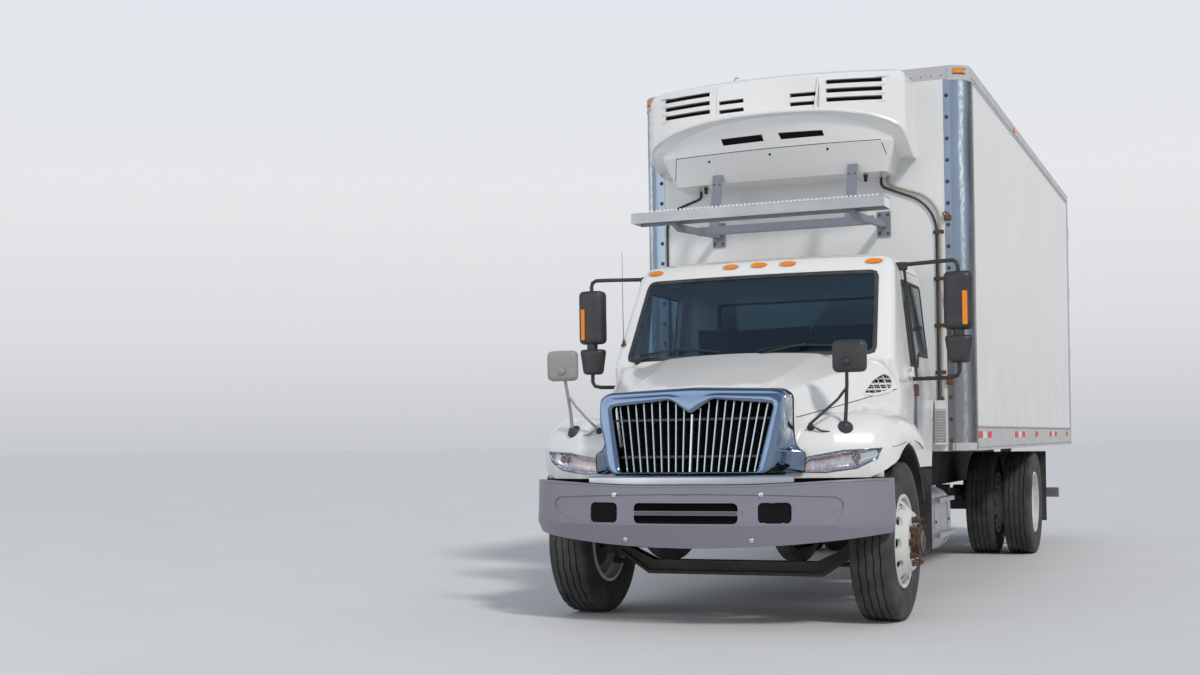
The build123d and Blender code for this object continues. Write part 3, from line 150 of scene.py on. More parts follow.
# ---------------------------------------------------------------- materials
class Shade:
    """Procedural material in object space, where one unit is a metre."""

    def __init__(self, name, rough=0.5, metallic=0.0, other=None):
        self.mat = bpy.data.materials.new(name)
        self.mat.use_nodes = True
        self.tree = self.mat.node_tree
        self.bsdf = self.tree.nodes["Principled BSDF"].inputs
        for key, value in {"Roughness": rough, "Metallic": metallic, **(other or {})}.items():
            self.bsdf[key].default_value = value
        self.place = add(self.tree, "TexCoord").outputs["Object"]
        self.x, _, self.z = add(self.tree, "SeparateXYZ", {0: self.place}).outputs

    def scaled(self, *scale):
        return add(self.tree, "Mapping", {"Scale": scale, "Vector": self.place}).outputs["Vector"]

    def noise(self, scale, detail=3.0, rough=0.5, vector=None):
        return add(self.tree, "TexNoise", {"Scale": scale, "Detail": detail, "Roughness": rough,
                                           "Vector": vector or self.place}).outputs["Fac"]

    def span(self, value, a, b, to_a=0.0, to_b=1.0):
        """Value moved from one range to another and kept inside it."""
        return add(self.tree, "MapRange", {"Value": value, "From Min": a, "From Max": b, "To Min": to_a,
                                           "To Max": to_b}).outputs["Result"]

    def calc(self, kind, a, b=0.0):
        return add(self.tree, "Math", {0: a, 1: b}, operation=kind).outputs["Value"]

    def times(self, a, b):
        return self.calc("MULTIPLY", a, b)

    def mix(self, fac, a, b):
        """Colour between two, each a tuple or a socket."""
        a, b = ((*v, 1) if isinstance(v, tuple) else v for v in (a, b))
        return add(self.tree, "Mix", {0: fac, 6: a, 7: b}, data_type="RGBA").outputs[2]

    def bump(self, relief, strength, distance):
        """Relief on top of what is there."""
        values = {"Height": relief, "Strength": strength, "Distance": distance}
        last = self.bsdf["Normal"]
        if last.is_linked:
            values["Normal"] = last.links[0].from_socket
        self.tree.links.new(add(self.tree, "Bump", values).outputs["Normal"], last)

    def finish(self, color, rough=None):
        self.tree.links.new(color, self.bsdf["Base Color"])
        if rough is not None:
            self.tree.links.new(rough, self.bsdf["Roughness"])
        return self.mat


def toned(color, by):
    return tuple(c * by for c in color)


def paint(name, color, rough, coat, grime, low, high, amount, streaks=0.0, flake=0.0):
    """Sprayed paint: faint tone changes, road film that thickens from high down to low, faint darker upright streaks.
    """
    s = Shade(name, rough, 0.0, {"Coat Weight": coat, "Coat Roughness": 0.12})
    base = s.mix(s.span(s.noise(0.9), 0.3, 0.75), toned(color, 0.965), toned(color, 1.015))
    if streaks:
        # Faint darker upright streaks, from noise stretched tall.
        runs = s.noise(1.0, 4.0, 0.6, s.scaled(9.0, 9.0, 0.45))
        base = s.mix(s.span(runs, 0.55, 0.85, 0.0, streaks), base, toned(color, 0.72))
    depth = s.span(s.z, high, low)
    film = s.times(depth, s.times(s.span(s.noise(2.3, 6.0, 0.62), 0.32, 0.72), amount))
    specks = s.span(s.noise(60.0, 2.0), 0.60, 0.78, 0.0, 0.10)
    film = s.calc("MAXIMUM", film, s.times(specks, s.span(depth, 0, 1, 0.25, 1.0)))
    if flake:
        s.bump(s.noise(900.0, 1.0), flake, 0.0006)
    s.bump(s.noise(14.0, 2.0), 0.02, 0.002)
    return s.finish(s.mix(film, base, grime), s.span(film, 0.0, 0.5, rough, min(0.75, rough + 0.35)))


def metal(name, color, rough, brush, stain, amount, relief):
    """Bare metal with brushed grain, dull patches and stains."""
    s = Shade(name, rough, 1.0)
    dull = s.times(s.span(s.noise(3.1, 6.0, 0.6), 0.38, 0.75), amount)
    grain = s.noise(1.0, 3.0, 0.6, s.scaled(*brush)) if brush else s.noise(220.0, 2.0)
    s.bump(grain, relief, 0.0008)
    grained = s.span(grain, 0.3, 0.7, rough * 0.8, rough * 1.2)
    return s.finish(s.mix(dull, color, stain), s.calc("ADD", grained, s.times(dull, 0.25)))


def polished(name, color, lit, rough):
    """Chrome plate in painted light: its face a deep blue as a painted sky reflection, with a mottled painted
    highlight on the driver's side where the sun falls.
    """
    s = Shade(name, rough, 1.0)
    base = s.mix(s.span(s.noise(3.1, 6.0, 0.6), 0.38, 0.75, 0.0, 0.16), color, (0.09, 0.12, 0.17))
    spots = s.span(s.noise(1.0, 3.0, 0.6, s.scaled(34.0, 34.0, 11.0)), 0.40, 0.60, 0.30, 1.0)
    # Painted highlight: a patch on the driver's side is mixed towards the lit colour, as sunlight on the chrome.
    highlight_patch = s.times(s.span(s.x, 0.572, 0.602), s.span(s.z, 1.12, 1.21))
    s.bump(s.noise(220.0, 2.0), 0.01, 0.0008)
    return s.finish(s.mix(s.times(highlight_patch, spots), base, lit))


def rolled(name, color, dark, rough):
    """Polished corner sheet in painted light: a blue painted sky reflection in front, greyer lower down, a speckled
    painted highlight stripe on the bend, and painted shade darker towards the side.
    """
    s = Shade(name, rough, 1.0)
    wave = s.noise(1.0, 3.0, 0.6, s.scaled(5.0, 5.0, 1.3))
    across = s.calc("ADD", s.calc("ABSOLUTE", s.x), s.span(wave, 0.3, 0.7, -0.010, 0.010))
    speck = s.span(s.noise(1.0, 3.0, 0.6, s.scaled(70.0, 70.0, 22.0)), 0.42, 0.58, 0.35, 1.0)
    shine = s.times(s.span(across, 1.218, 1.234), s.span(across, 1.258, 1.244))
    # Painted reflection turns greyer lower down; painted shade darkens the sheet towards the side.
    colour = s.mix(s.span(s.z, 2.7, 1.7), color, (0.26, 0.265, 0.28))
    colour = s.mix(s.span(across, 1.262, 1.290), colour, dark)
    # Painted highlight: a speckled white stripe on the bend, strongest up high.
    highlight_stripe = s.times(s.times(shine, speck), s.span(s.z, 2.2, 3.0, 0.35, 1.0))
    s.bump(wave, 0.25, 0.012)
    s.bump(s.noise(1.0, 3.0, 0.6, s.scaled(240.0, 240.0, 3.0)), 0.03, 0.0008)
    return s.finish(s.mix(highlight_stripe, colour, (0.92, 0.94, 0.96)), s.span(wave, 0.3, 0.7, rough, rough * 1.7))


def streaked(name, clear, tint):
    """Ribbed reflector whose upright flutes throw back a tint in turns."""
    s = Shade(name, 0.16, 0.55)
    flutes = add(s.tree, "TexWave", {"Scale": 26.0, "Distortion": 1.6, "Vector": s.place}).outputs["Fac"]
    spots = s.noise(34.0, 2.0, 0.5, s.scaled(1.0, 1.0, 0.45))
    s.bump(flutes, 0.25, 0.003)
    return s.finish(s.mix(s.times(s.span(flutes, 0.35, 0.75), s.span(spots, 0.40, 0.60)), clear, tint))


def cast(name, color, dust=(0.20, 0.185, 0.165), rough=0.62, amount=0.5, rust=0.0):
    """Cast or forged steel under chassis paint, with road dust and some rust."""
    s = Shade(name, rough, 0.35)
    patch = s.span(s.noise(5.0, 6.0, 0.62), 0.35, 0.72)
    colour = s.mix(s.times(patch, amount), color, dust)
    if rust:
        colour = s.mix(s.span(s.noise(17.0, 5.0, 0.65), 0.52, 0.66, 0.0, rust), colour, (0.21, 0.085, 0.035))
    s.bump(s.noise(160.0), 0.18, 0.0012)
    s.bump(s.noise(9.0, 4.0), 0.10, 0.004)
    return s.finish(colour, s.span(patch, 0, 1, rough, min(0.92, rough + 0.22)))


def plastic(name, color, rough, grain, relief, dust=(0.24, 0.23, 0.21), amount=0.18):
    """Moulded or coated surface with a fine grain and a thin dusty film."""
    s = Shade(name, rough)
    patch = s.span(s.noise(6.0, 5.0, 0.6), 0.35, 0.75)
    cells = add(s.tree, "TexVoronoi", {"Scale": grain, "Vector": s.place}).outputs["Distance"]
    s.bump(cells, relief, 0.0008)
    return s.finish(s.mix(s.times(patch, amount), color, dust), s.span(patch, 0, 1, rough, min(0.9, rough + 0.15)))


def glassy(name, color, rough, transmission, ior, dust):
    """Glass with a film of dust, tinted through its base colour."""
    s = Shade(name, rough, 0.0, {"Transmission Weight": transmission, "IOR": ior})
    film = s.span(s.noise(3.0, 5.0, 0.6), 0.35, 0.8, 0.0, dust)
    return s.finish(s.mix(film, color, (0.55, 0.55, 0.52)), s.span(film, 0, 1, rough, 0.6))


GRIME = (0.30, 0.27, 0.23)
DULL = (0.16, 0.155, 0.15)
M = {name: make(name, *rest) for make, name, *rest in (
    # maker, name, colour, then that maker's own values in turn
    (paint, "paint_white", (0.80, 0.80, 0.79), 0.24, 0.6, GRIME, 0.7, 1.7, 0.30, 0.05),
    (paint, "panel_white", (0.76, 0.765, 0.76), 0.42, 0.12, GRIME, 0.9, 2.6, 0.22, 0.16),
    (paint, "rim_white", (0.70, 0.70, 0.68), 0.42, 0.15, (0.16, 0.12, 0.09), 0.0, 1.4, 0.55),
    # Bumper: its own grey paint, made darker and bluer as painted shade
    (paint, "bumper_grey", (0.215, 0.210, 0.262), 0.42, 0.08, (0.23, 0.21, 0.20), 0.5, 0.95, 0.30, 0.0, 0.10),
    (paint, "tape_red", (0.64, 0.022, 0.020), 0.45, 0.0, GRIME, 0.0, 0.8, 0.15),
    (paint, "tape_white", (0.70, 0.70, 0.69), 0.45, 0.0, GRIME, 0.0, 0.8, 0.15),
    # Chrome: a deep blue painted sky reflection, then the colour of its painted highlight
    (polished, "chrome", (0.175, 0.235, 0.335), (0.66, 0.70, 0.72), 0.09),
    (metal, "bar_chrome", (0.58, 0.655, 0.675), 0.24, None, (0.34, 0.38, 0.40), 0.12, 0.02),
    (metal, "aluminium", (0.47, 0.475, 0.49), 0.44, (3.0, 260.0, 260.0), (0.27, 0.27, 0.28), 0.35, 0.08),
    (metal, "rear_steel", (0.50, 0.53, 0.57), 0.30, (3.0, 3.0, 200.0), (0.28, 0.29, 0.31), 0.30, 0.05),
    (metal, "reflector", (0.80, 0.81, 0.83), 0.12, None, (0.55, 0.55, 0.56), 0.10, 0.01),
    (metal, "mirror", (0.80, 0.82, 0.84), 0.03, None, (0.60, 0.61, 0.62), 0.12, 0.0),
    # Corner posts: colour of the blue painted sky reflection, then the painted shade colour of their side edge
    (rolled, "stainless", (0.265, 0.335, 0.430), (0.075, 0.082, 0.098), 0.20),
    (streaked, "amber_reflector", (0.80, 0.82, 0.88), (0.90, 0.33, 0.06)),
    (cast, "frame_black", (0.022, 0.022, 0.024), (0.20, 0.185, 0.165), 0.62, 0.35),
    (cast, "cast_iron", (0.045, 0.042, 0.040), (0.20, 0.185, 0.165), 0.62, 0.50, 0.35),
    (cast, "rust_orange", (0.17, 0.070, 0.032), (0.26, 0.17, 0.12), 0.66, 0.45, 0.5),
    (cast, "rust", (0.080, 0.046, 0.032), (0.20, 0.145, 0.115), 0.66, 0.50, 0.45),
    (cast, "rust_trim", (0.085, 0.050, 0.035), (0.20, 0.14, 0.10), 0.60, 0.45, 0.40),
    (glassy, "glass", (0.40, 0.53, 0.60), 0.02, 1.0, 1.50, 0.06),
    (glassy, "lamp_glass", (0.93, 0.94, 0.95), 0.05, 1.0, 1.45, 0.10),
    (glassy, "bulb", (0.95, 0.95, 0.93), 0.05, 0.6, 1.45, 0.05),
    (plastic, "mill", (0.50, 0.50, 0.505), 0.40, 240.0, 0.05, (0.36, 0.36, 0.35), 0.40),
    # Walkway straps: zinc-coated grey, made darker and bluer as painted shade
    (plastic, "galvanised", (0.215, 0.23, 0.275), 0.52, 90.0, 0.06, (0.20, 0.20, 0.22), 0.35),
    (plastic, "aluminium_bright", (0.86, 0.87, 0.88), 0.30, 200.0, 0.05, (0.6, 0.6, 0.6), 0.2),
    (plastic, "hose_tan", (0.46, 0.40, 0.33), 0.62, 200.0, 0.12, (0.20, 0.17, 0.14), 0.35),
    (plastic, "lamp_amber", (0.85, 0.24, 0.01), 0.16, 160.0, 0.25, (0.5, 0.3, 0.15), 0.15),
    (plastic, "lamp_red", (0.42, 0.012, 0.010), 0.16, 160.0, 0.25, (0.3, 0.1, 0.08), 0.15),
    (plastic, "black_plastic", (0.022, 0.023, 0.026), 0.42, 380.0, 0.12, (0.12, 0.12, 0.12), 0.25),
    # Middle bar of the bumper's slot: grey plastic made darker as painted shade for its set-back place
    (plastic, "bar_grey", (0.085, 0.085, 0.10), 0.5, 300.0, 0.08, DULL, 0.30),
    (plastic, "grey_plastic", (0.30, 0.295, 0.285), 0.48, 360.0, 0.12, DULL, 0.30),
    (plastic, "slate", (0.10, 0.11, 0.14), 0.45, 300.0, 0.10, (0.20, 0.19, 0.18), 0.30),
    (plastic, "dark", (0.006, 0.006, 0.007), 0.85, 300.0, 0.10, (0.02, 0.02, 0.02), 0.3),
    (plastic, "dash_grey", (0.055, 0.056, 0.060), 0.62, 300.0, 0.15),
    (plastic, "glass_dial", (0.02, 0.02, 0.022), 0.12, 200.0, 0.02),
    (plastic, "seat_cloth", (0.075, 0.085, 0.105), 0.85, 700.0, 0.4, (0.12, 0.12, 0.13), 0.4),
    (plastic, "rubber", (0.020, 0.020, 0.021), 0.72, 260.0, 0.15, (0.14, 0.13, 0.12), 0.45),
    (plastic, "tyre", (0.021, 0.021, 0.023), 0.78, 240.0, 0.12, (0.15, 0.145, 0.135), 0.5),
)}
M["dark"].node_tree.nodes["Principled BSDF"].inputs["Specular IOR Level"].default_value = 0.12

slot_of = {p["node"]: p["material_slot"] for p in frame["record"]["subparts"]}
FINER = {"walkway_arms": "galvanised", "rear_frame": "rear_steel", "box_rails": "mill"}
for name, o in nodes.items():
    o.data.materials.clear()
    o.data.materials.append(M[FINER.get(name, slot_of[name])])
    o.data.shade_smooth()


# ---------------------------------------------------------------- forms
def circle(centre, u, v, radius, count, first=0.0, flat=1.0):
    """Points round a centre in the plane of two directions."""
    turns = [first + 2 * pi * k / count for k in range(count)]
    return [centre + (u * cos(t) + v * sin(t) * flat) * radius for t in turns]


class Form:
    """Mesh gathered from closed shapes; each face takes the material number in self.tone."""

    def __init__(self):
        self.bm = bmesh.new()
        self.tone = 0

    def face(self, verts):
        self.bm.faces.new(verts).material_index = self.tone

    def loft(self, rings, caps=True, closed=False):
        """Skin over rings of points, capped at its ends or closed on itself."""
        rows = [[self.bm.verts.new(p) for p in ring] for ring in rings]
        for a, b in list(zip(rows, rows[1:])) + ([(rows[-1], rows[0])] if closed else []):
            for i in range(len(a)):
                j = (i + 1) % len(a)
                self.face((a[i], a[j], b[j], b[i]))
        if caps and not closed:
            self.face(rows[0][::-1])
            self.face(rows[-1])

    def prism(self, outline, offset):
        self.loft([list(outline), [p + Vector(offset) for p in outline]])

    def block(self, x0, x1, s0, s1, z0, z1, c):
        """Block between two x, two stations and two heights, with its edges broken by a chamfer c."""
        x0, x1 = sorted((x0, x1))
        rings = []
        for z, d in ((z0, c), (z0 + c, 0), (z1 - c, 0), (z1, c)):
            a, b, f, g = x0 + d, x1 - d, s0 + d, s1 - d
            rings.append([P(x, s, z) for x, s in ((a + c, f), (b - c, f), (b, f + c), (b, g - c), (b - c, g),
                                                  (a + c, g), (a, g - c), (a, f + c))])
        self.loft(rings)

    def turned(self, profile, centre, axis, segments=24, closed=False):
        """Profile of (along, radius) pairs turned about an axis; a closed one makes a ring."""
        axis = Vector(axis).normalized()
        u = axis.orthogonal().normalized()
        v = axis.cross(u)
        self.loft([circle(centre + axis * along, u, v, max(radius, 0.0004), segments)
                   for along, radius in profile], closed=closed)

    def tube(self, points, radius, sides=8, flat=1.0):
        """Bar along points, with one radius or one for each point, and flattened where flat is below 1."""
        u = (points[1] - points[0]).orthogonal().normalized()
        rings = []
        for i, p in enumerate(points):
            t = (points[min(i + 1, len(points) - 1)] - points[max(i - 1, 0)]).normalized()
            u = (u - t * u.dot(t)).normalized()
            rings.append(circle(p, u, t.cross(u), radius[i] if isinstance(radius, list) else radius, sides, 0.0, flat))
        self.loft(rings)

    def dome(self, centre, normal, radius, height, sides):
        self.turned([(0, radius), (height * 0.55, radius * 0.86), (height, radius * 0.42)], centre, normal, sides)

    def hexagon(self, centre, axis, radius, height):
        """Nut with chamfered ends."""
        self.turned([(0, radius * 0.93), (radius * 0.10, radius), (height - radius * 0.16, radius),
                     (height, radius * 0.86)], centre, axis, 6)

    def strip(self, points, normals, width, height, closed=False, sink=0.002):
        """Low moulding laid on a surface along points, with a crowned top."""
        rings = []
        n = len(points)
        for i, (p, normal) in enumerate(zip(points, normals)):
            a = points[i - 1] if (i or closed) else p
            b = points[(i + 1) % n] if (i < n - 1 or closed) else p
            side = (b - a).cross(normal).normalized() * width / 2
            rings.append([p + side * out + normal * high for out, high in (
                (-1, -sink), (-1, height * 0.5), (-0.6, height), (0.6, height), (1, height * 0.5), (1, -sink))])
        self.loft(rings, caps=not closed, closed=closed)

    def trim(self, tree, view, pairs, width, height, step=None, corner=None, turns=4, sink=0.002):
        """Moulding along pairs as seen from a view; with a corner radius it is a closed loop."""
        starts = [outside(view, *pair) for pair in pairs]
        if corner:
            starts = rounded(starts, corner, turns)
        if step:
            starts = divided(starts, step, bool(corner))
        self.strip(*laid(tree, starts, TOWARDS[view]), width, height, bool(corner), sink)

    def done(self, name, materials, body, slot, replaced=(), angle=35):
        """Object of the mesh; materials are names parted by spaces, in the order of the tones."""
        bmesh.ops.remove_doubles(self.bm, verts=self.bm.verts, dist=1e-6)
        bmesh.ops.recalc_face_normals(self.bm, faces=self.bm.faces)
        mesh = bpy.data.meshes.new(name)
        self.bm.to_mesh(mesh)
        self.bm.free()
        for m in materials.split():
            mesh.materials.append(M[m])
        mesh.shade_smooth()
        mesh.set_sharp_from_angle(angle=radians(angle))
        made = bpy.data.objects.new(name, mesh)
        scene.collection.objects.link(made)
        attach(made, body)
        if replaced:
            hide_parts(*replaced)
        return made


TOWARDS = {1: (-1, 0, 0), -1: (1, 0, 0), "front": AFT, "back": FORE}


def outside(view, across, z):
    """Point off the truck that looks at (station, z) from side 1 or -1, or at (x, z) from front or back."""
    return P(view * 2, across, z) if view in (1, -1) else P(across, -1 if view == "front" else 12, z)


def surface(*names):
    """Tree of one or more nodes' faces, for finding points on them."""
    verts, faces = [], []
    for name in names:
        mesh = nodes[name].data
        first = len(verts)
        verts += [v.co.copy() for v in mesh.vertices]
        faces += [[first + i for i in f.vertices] for f in mesh.polygons]
    return BVHTree.FromPolygons(verts, faces)


def drop(tree, start, way):
    """First point that a ray meets, with the surface's normal turned towards the ray's start, or None."""
    way = Vector(way).normalized()
    place, normal, _, _ = tree.ray_cast(start, way)
    return place and (place, normal if normal.dot(way) < 0 else -normal)


def laid(tree, starts, way, pull=0.0):
    """Points and normals where a row of parallel rays meets a surface, pulled out along the normals."""
    found = [f for f in (drop(tree, s, way) for s in starts) if f]
    return [p + n * pull for p, n in found], [n for _, n in found]


def divided(points, step, closed=False):
    """Points along straight runs, no further apart than a step."""
    out = []
    for a, b in zip(points, points[1:] + ([points[0]] if closed else [])):
        n = max(1, int((b - a).length / step))
        out += [a.lerp(b, i / n) for i in range(n)]
    return out if closed else out + [points[-1]]


def rounded(points, radius, turns=4):
    """Closed outline with its corners rounded."""
    out = []
    for i, p in enumerate(points):
        a, b = points[i - 1] - p, points[(i + 1) % len(points)] - p
        r = min(radius, a.length * 0.45, b.length * 0.45)
        out += [(p + a.normalized() * r) * (1 - t) ** 2 + p * 2 * t * (1 - t) + (p + b.normalized() * r) * t ** 2
                for t in steps(0, 1, turns)]
    return out


def rect(x0, x1, z0, z1, station, radius, turns=4):
    """Upright rectangle with rounded corners."""
    return rounded([P(x0, station, z0), P(x1, station, z0), P(x1, station, z1), P(x0, station, z1)], radius, turns)


def between(chain, x):
    """Height on a chain of (x, height) pairs."""
    for (x0, z0), (x1, z1) in zip(chain, chain[1:]):
        if x <= x1:
            return z0 + (z1 - z0) * (x - x0) / (x1 - x0)
    return chain[-1][1]


def eased(value):
    """Smooth step from 0 to 1."""
    value = min(1.0, max(0.0, value))
    return value * value * (3 - 2 * value)


# ---------------------------------------------------------------- sheet panels and hoses
def evened(made):
    """Lets the large faces of a panel set the shading of its rounded edges."""
    even = made.modifiers.new("even", "WEIGHTED_NORMAL")
    even.mode, even.weight, even.keep_sharp = "FACE_AREA", 70, True


def islands(bm):
    """Groups of faces that hang together."""
    left = set(bm.faces)
    while left:
        group, front = set(), [left.pop()]
        while front:
            f = front.pop()
            group.add(f)
            near = {g for e in f.edges for g in e.link_faces} & left
            left -= near
            front += near
        yield group


def welded(node, name, body, angle=34, second="", past=0.0):
    """A node's mesh with one shading; a solid of it that reaches past an x takes the second material."""
    form = Form()
    form.bm.from_mesh(nodes[node].data)
    if second:
        bmesh.ops.remove_doubles(form.bm, verts=form.bm.verts, dist=1e-5)
        for group in islands(form.bm):
            if max(v.co.x for f in group for v in f.verts) > past:
                for f in group:
                    f.material_index = 1
    evened(form.done(name, f"{slot_of[node]} {second}", body, slot_of[node], (node,), angle))


for node, name, body in (("hood_shell", "hood_panels", "hood"), ("cab_shell", "cab_panels", "chassis"),
                         ("door_left", "door_panels_left", "left_door"),
                         ("door_right", "door_panels_right", "right_door")):
    welded(node, name, body)
welded("unit_lines", "unit_hoses", "chassis", 50, "hose_tan", 1.07)

# ---------------------------------------------------------------- tyres and wheels
WHEEL_Z = 0.506
FRONT, REAR = 1.020, 6.970
Y, Z = Vector((0, 1, 0)), Vector((0, 0, 1))
# Half of a tyre's section as (across, radius), bead to shoulder, and the grooves of its tread
SIDEWALL = [(0.1035, 0.2868), (0.1042, 0.3030), (0.1190, 0.3270), (0.1205, 0.3300), (0.1218, 0.3330),
            (0.1325, 0.3700), (0.1368, 0.3980), (0.1376, 0.4050), (0.1362, 0.4100), (0.1345, 0.4450),
            (0.1308, 0.4700), (0.1300, 0.4740), (0.1255, 0.4880), (0.1190, 0.4980), (0.1120, 0.5030),
            (0.1020, 0.5050)]
RIBS = [(0.0735, 0.5058), (0.0710, 0.4940), (0.0650, 0.4940), (0.0625, 0.5058), (0.0290, 0.5060),
        (0.0265, 0.4940), (0.0205, 0.4940), (0.0180, 0.5060)]
SECTIONS = 132
ZIGZAG, NICK, SHOULDER = 0.0022, 0.0045, 0.497


def tyre(name, centres, station, body, node, phase=0.0):
    """Radial tyres with four zigzag grooves, shoulder nicks and ringed sidewalls."""
    form = Form()
    for x0 in centres:
        rings = []
        for i in range(SECTIONS):
            turn = 2 * pi * (i + phase) / SECTIONS
            shift = ZIGZAG if (i // 3) % 2 else -ZIGZAG
            half = [(x, r - (NICK if i % 4 == 0 and r > SHOULDER else 0)) for x, r in SIDEWALL]
            section = (half + [(x + shift, r) for x, r in RIBS] + [(-x + shift, r) for x, r in RIBS[::-1]]
                       + [(-x, r) for x, r in half[::-1]])
            rings.append([P(x0 + x, station + r * cos(turn), WHEEL_Z + r * sin(turn)) for x, r in section])
        form.loft(rings, closed=True)
    form.done(name, "tyre", body, "tyre", (node,), 40)


for side, word in SIDES:
    tyre(f"tread_front_{word}", [side * 1.015], FRONT, f"front_{word}_wheel", f"tyre_front_{word}")
    tyre(f"tread_rear_{word}", [side * 0.7477, side * 1.1020], REAR, f"rear_{word}_wheels",
         f"tyres_rear_{word}", 0.5)

# Wheel ends: place, wheel body's last letters, station, face under the nuts, cap bolts with their
# ring and lift, outer tyre's middle, profile of hub and cap as (along, radius)
WHEELS = (
    ("front", "wheel", FRONT, 1.192, 6, 0.080, 0.047, 1.015,
     [(-0.010, 0.0900), (0.002, 0.0900), (0.006, 0.0890), (0.034, 0.0888), (0.036, 0.0945), (0.046, 0.0945),
      (0.048, 0.0920), (0.049, 0.0640), (0.058, 0.0635), (0.0635, 0.0600), (0.0640, 0.0200), (0.0660, 0.0150),
      (0.0660, 0.0)]),
    ("rear", "wheels", REAR, 0.935, 8, 0.084, 0.112, 1.102,
     [(-0.004, 0.0900), (0.010, 0.0895), (0.085, 0.0890), (0.094, 0.0930), (0.095, 0.1030), (0.1115, 0.1030),
      (0.1125, 0.1000), (0.1130, 0.0500), (0.1150, 0.0460), (0.1150, 0.0)]),
)
NUTS, NUT_RING = 10, 0.142875
FLANGE = 0.2995
RIM_EDGE = [(-0.006, -0.016), (0.0005, -0.014), (0.0012, -0.003), (-0.002, 0.001), (-0.010, 0.0015),
            (-0.012, -0.010)]
for side, word in SIDES:
    out = Vector((side, 0, 0))
    for place, kind, station, face, bolts, bolt_ring, lift, middle, hub in WHEELS:
        form = Form()
        centre = P(side * face, station, WHEEL_Z)
        for spot in circle(centre, Y, Z, NUT_RING, NUTS):
            form.turned([(0.0, 0.0225), (0.004, 0.0225), (0.006, 0.0205)], spot, out, 16)
            form.hexagon(spot + out * 0.005, out, 0.0192, 0.031)
            form.turned([(0.034, 0.0105), (0.050, 0.0105), (0.052, 0.0085)], spot, out, 10)
        form.turned(hub, centre, out, 40)
        for spot in circle(centre + out * lift, Y, Z, bolt_ring, bolts, pi / bolts):
            form.hexagon(spot, out, 0.0085, 0.008)
        form.done(f"hub_{place}_{word}", "rust", f"{place}_{word}_{kind}", "rim_white")
        form = Form()
        edge = P(side * (middle + 0.118), station, WHEEL_Z)
        form.turned([(along, FLANGE + more) for along, more in RIM_EDGE], edge, out, 72, True)
        valve = edge + (Y * cos(2.2) + Z * sin(2.2)) * 0.262
        form.tube([valve - out * 0.03, valve + out * 0.006, valve + out * 0.010], [0.0055, 0.005, 0.0038])
        form.done(f"rim_edge_{place}_{word}", "rim_white", f"{place}_{word}_{kind}", "rim_white")

# ---------------------------------------------------------------- grille and its surround
FAN = 9                                  # bars on each side of the middle one
BARS_LOW, BARS_DEEP = 0.970, 0.460       # level and height over which the bars spread and tilt
GRILLE_MID = 1.180
# Section of a bar as (share of its half width, depth)
BAR = ((-1, 0.028), (-1, 0.008), (-0.62, 0.0015), (0, 0), (0.62, 0.0015), (1, 0.008), (1, 0.028))


def bar_top(x):
    """Height of the opening's upper edge, with its point in the middle."""
    x = abs(x)
    return 1.420 - (x - 0.135) * 35 / 395 if x >= 0.135 else 1.330 + x * 90 / 135


def bar_station(z):
    return 0.130 + 0.075 * (z - BARS_LOW) / BARS_DEEP


def opening_half(z):
    return 0.445 + (z - 0.975) * 85 / 410


form = Form()
for n in range(-FAN, FAN + 1):
    wide = 0.0065 if n else 0.0095
    x_low, x_high = n * 0.435 / (FAN + 0.5), n * 0.518 / (FAN + 0.5)
    rings = []
    for z in steps(0.976, bar_top(x_high) - 0.001, 8):
        x = x_low + (x_high - x_low) * (z - BARS_LOW) / BARS_DEEP
        rings.append([P(x + wide * a, bar_station(z) + 0.0008 + d, z) for a, d in BAR])
    form.loft(rings)
form.tone = 1
for z in (1.060, 1.290):
    s, half = bar_station(z) + 0.020, opening_half(z) - 0.001
    form.block(-half, half, s, s + 0.010, z, z + 0.016, 0.0012)
form.done("grille_fins", "bar_chrome black_plastic", "hood", "chrome", ("grille_bars",))

form = Form()
rows = []
for k, z in enumerate(steps(0.968, 1.408, 96)):
    half = opening_half(z) - 0.005
    s = bar_station(z) + 0.052 + (0.006 if k % 2 else 0.0)
    rows.append([P(x, s + d, z) for x, d in ((-half, 0), (half, 0), (half, 0.004), (-half, 0.004))])
form.loft(rows)
form.done("grille_core", "dark", "hood", "black_plastic", angle=20)


def face_station(z):
    """Station of the surround's tilted face at a height."""
    return 0.125 + 0.19756 * (z - GRILLE_MID)


def reach(loop, turn):
    """Distance from the grille's centre to a closed outline, in a direction clockwise from up."""
    wx, wz = sin(turn), cos(turn)
    far = 0.0
    for a, b in zip(loop, loop[1:] + loop[:1]):
        ax, az, dx, dz = a.x, a.z - GRILLE_MID, b.x - a.x, b.z - a.z
        det = wz * dx - wx * dz
        if abs(det) > 1e-9:
            r, k = (az * dx - ax * dz) / det, (wx * az - wz * ax) / det
            if r > 0 and -1e-6 <= k <= 1 + 1e-6:
                far = max(far, r)
    return far


def mirrored(half):
    return [Vector((x, 0, z)) for x, z in half] + [Vector((-x, 0, z)) for x, z in reversed(half) if x]


RIM = rounded(mirrored([(0, 1.494), (0.560, 1.478), (0.618, 1.440), (0.617, 1.250), (0.620, 1.180), (0.630, 1.136),
                        (0.650, 1.106), (0.688, 1.088), (0.684, 0.962)]), 0.030, 5)
FACE = rounded(mirrored([(0, 1.4625), (0.560, 1.4468), (0.592, 1.4056), (0.545, 1.121), (0.505, 0.966)]), 0.040, 6)
OPENING = rounded(mirrored([(0, 1.330), (0.135, 1.420), (0.530, 1.385), (0.445, 0.975)]), 0.030, 6)
SURROUND_BACK = 0.2892
# Section inside the opening: (further out from its edge, further back)
RETURN = ((0.006, 0.0), (0.0015, 0.0025), (0.0, 0.007), (0.0, 0.060), (0.014, 0.060))
turns = sorted({round(2 * pi * k / 168, 4) for k in range(168)}
               | {round(atan2(v.x, v.z - GRILLE_MID) % (2 * pi), 4) for v in RIM + FACE + OPENING})
turns = [a for a, b in zip(turns, turns[1:] + [7.0]) if b - a > 0.0015]


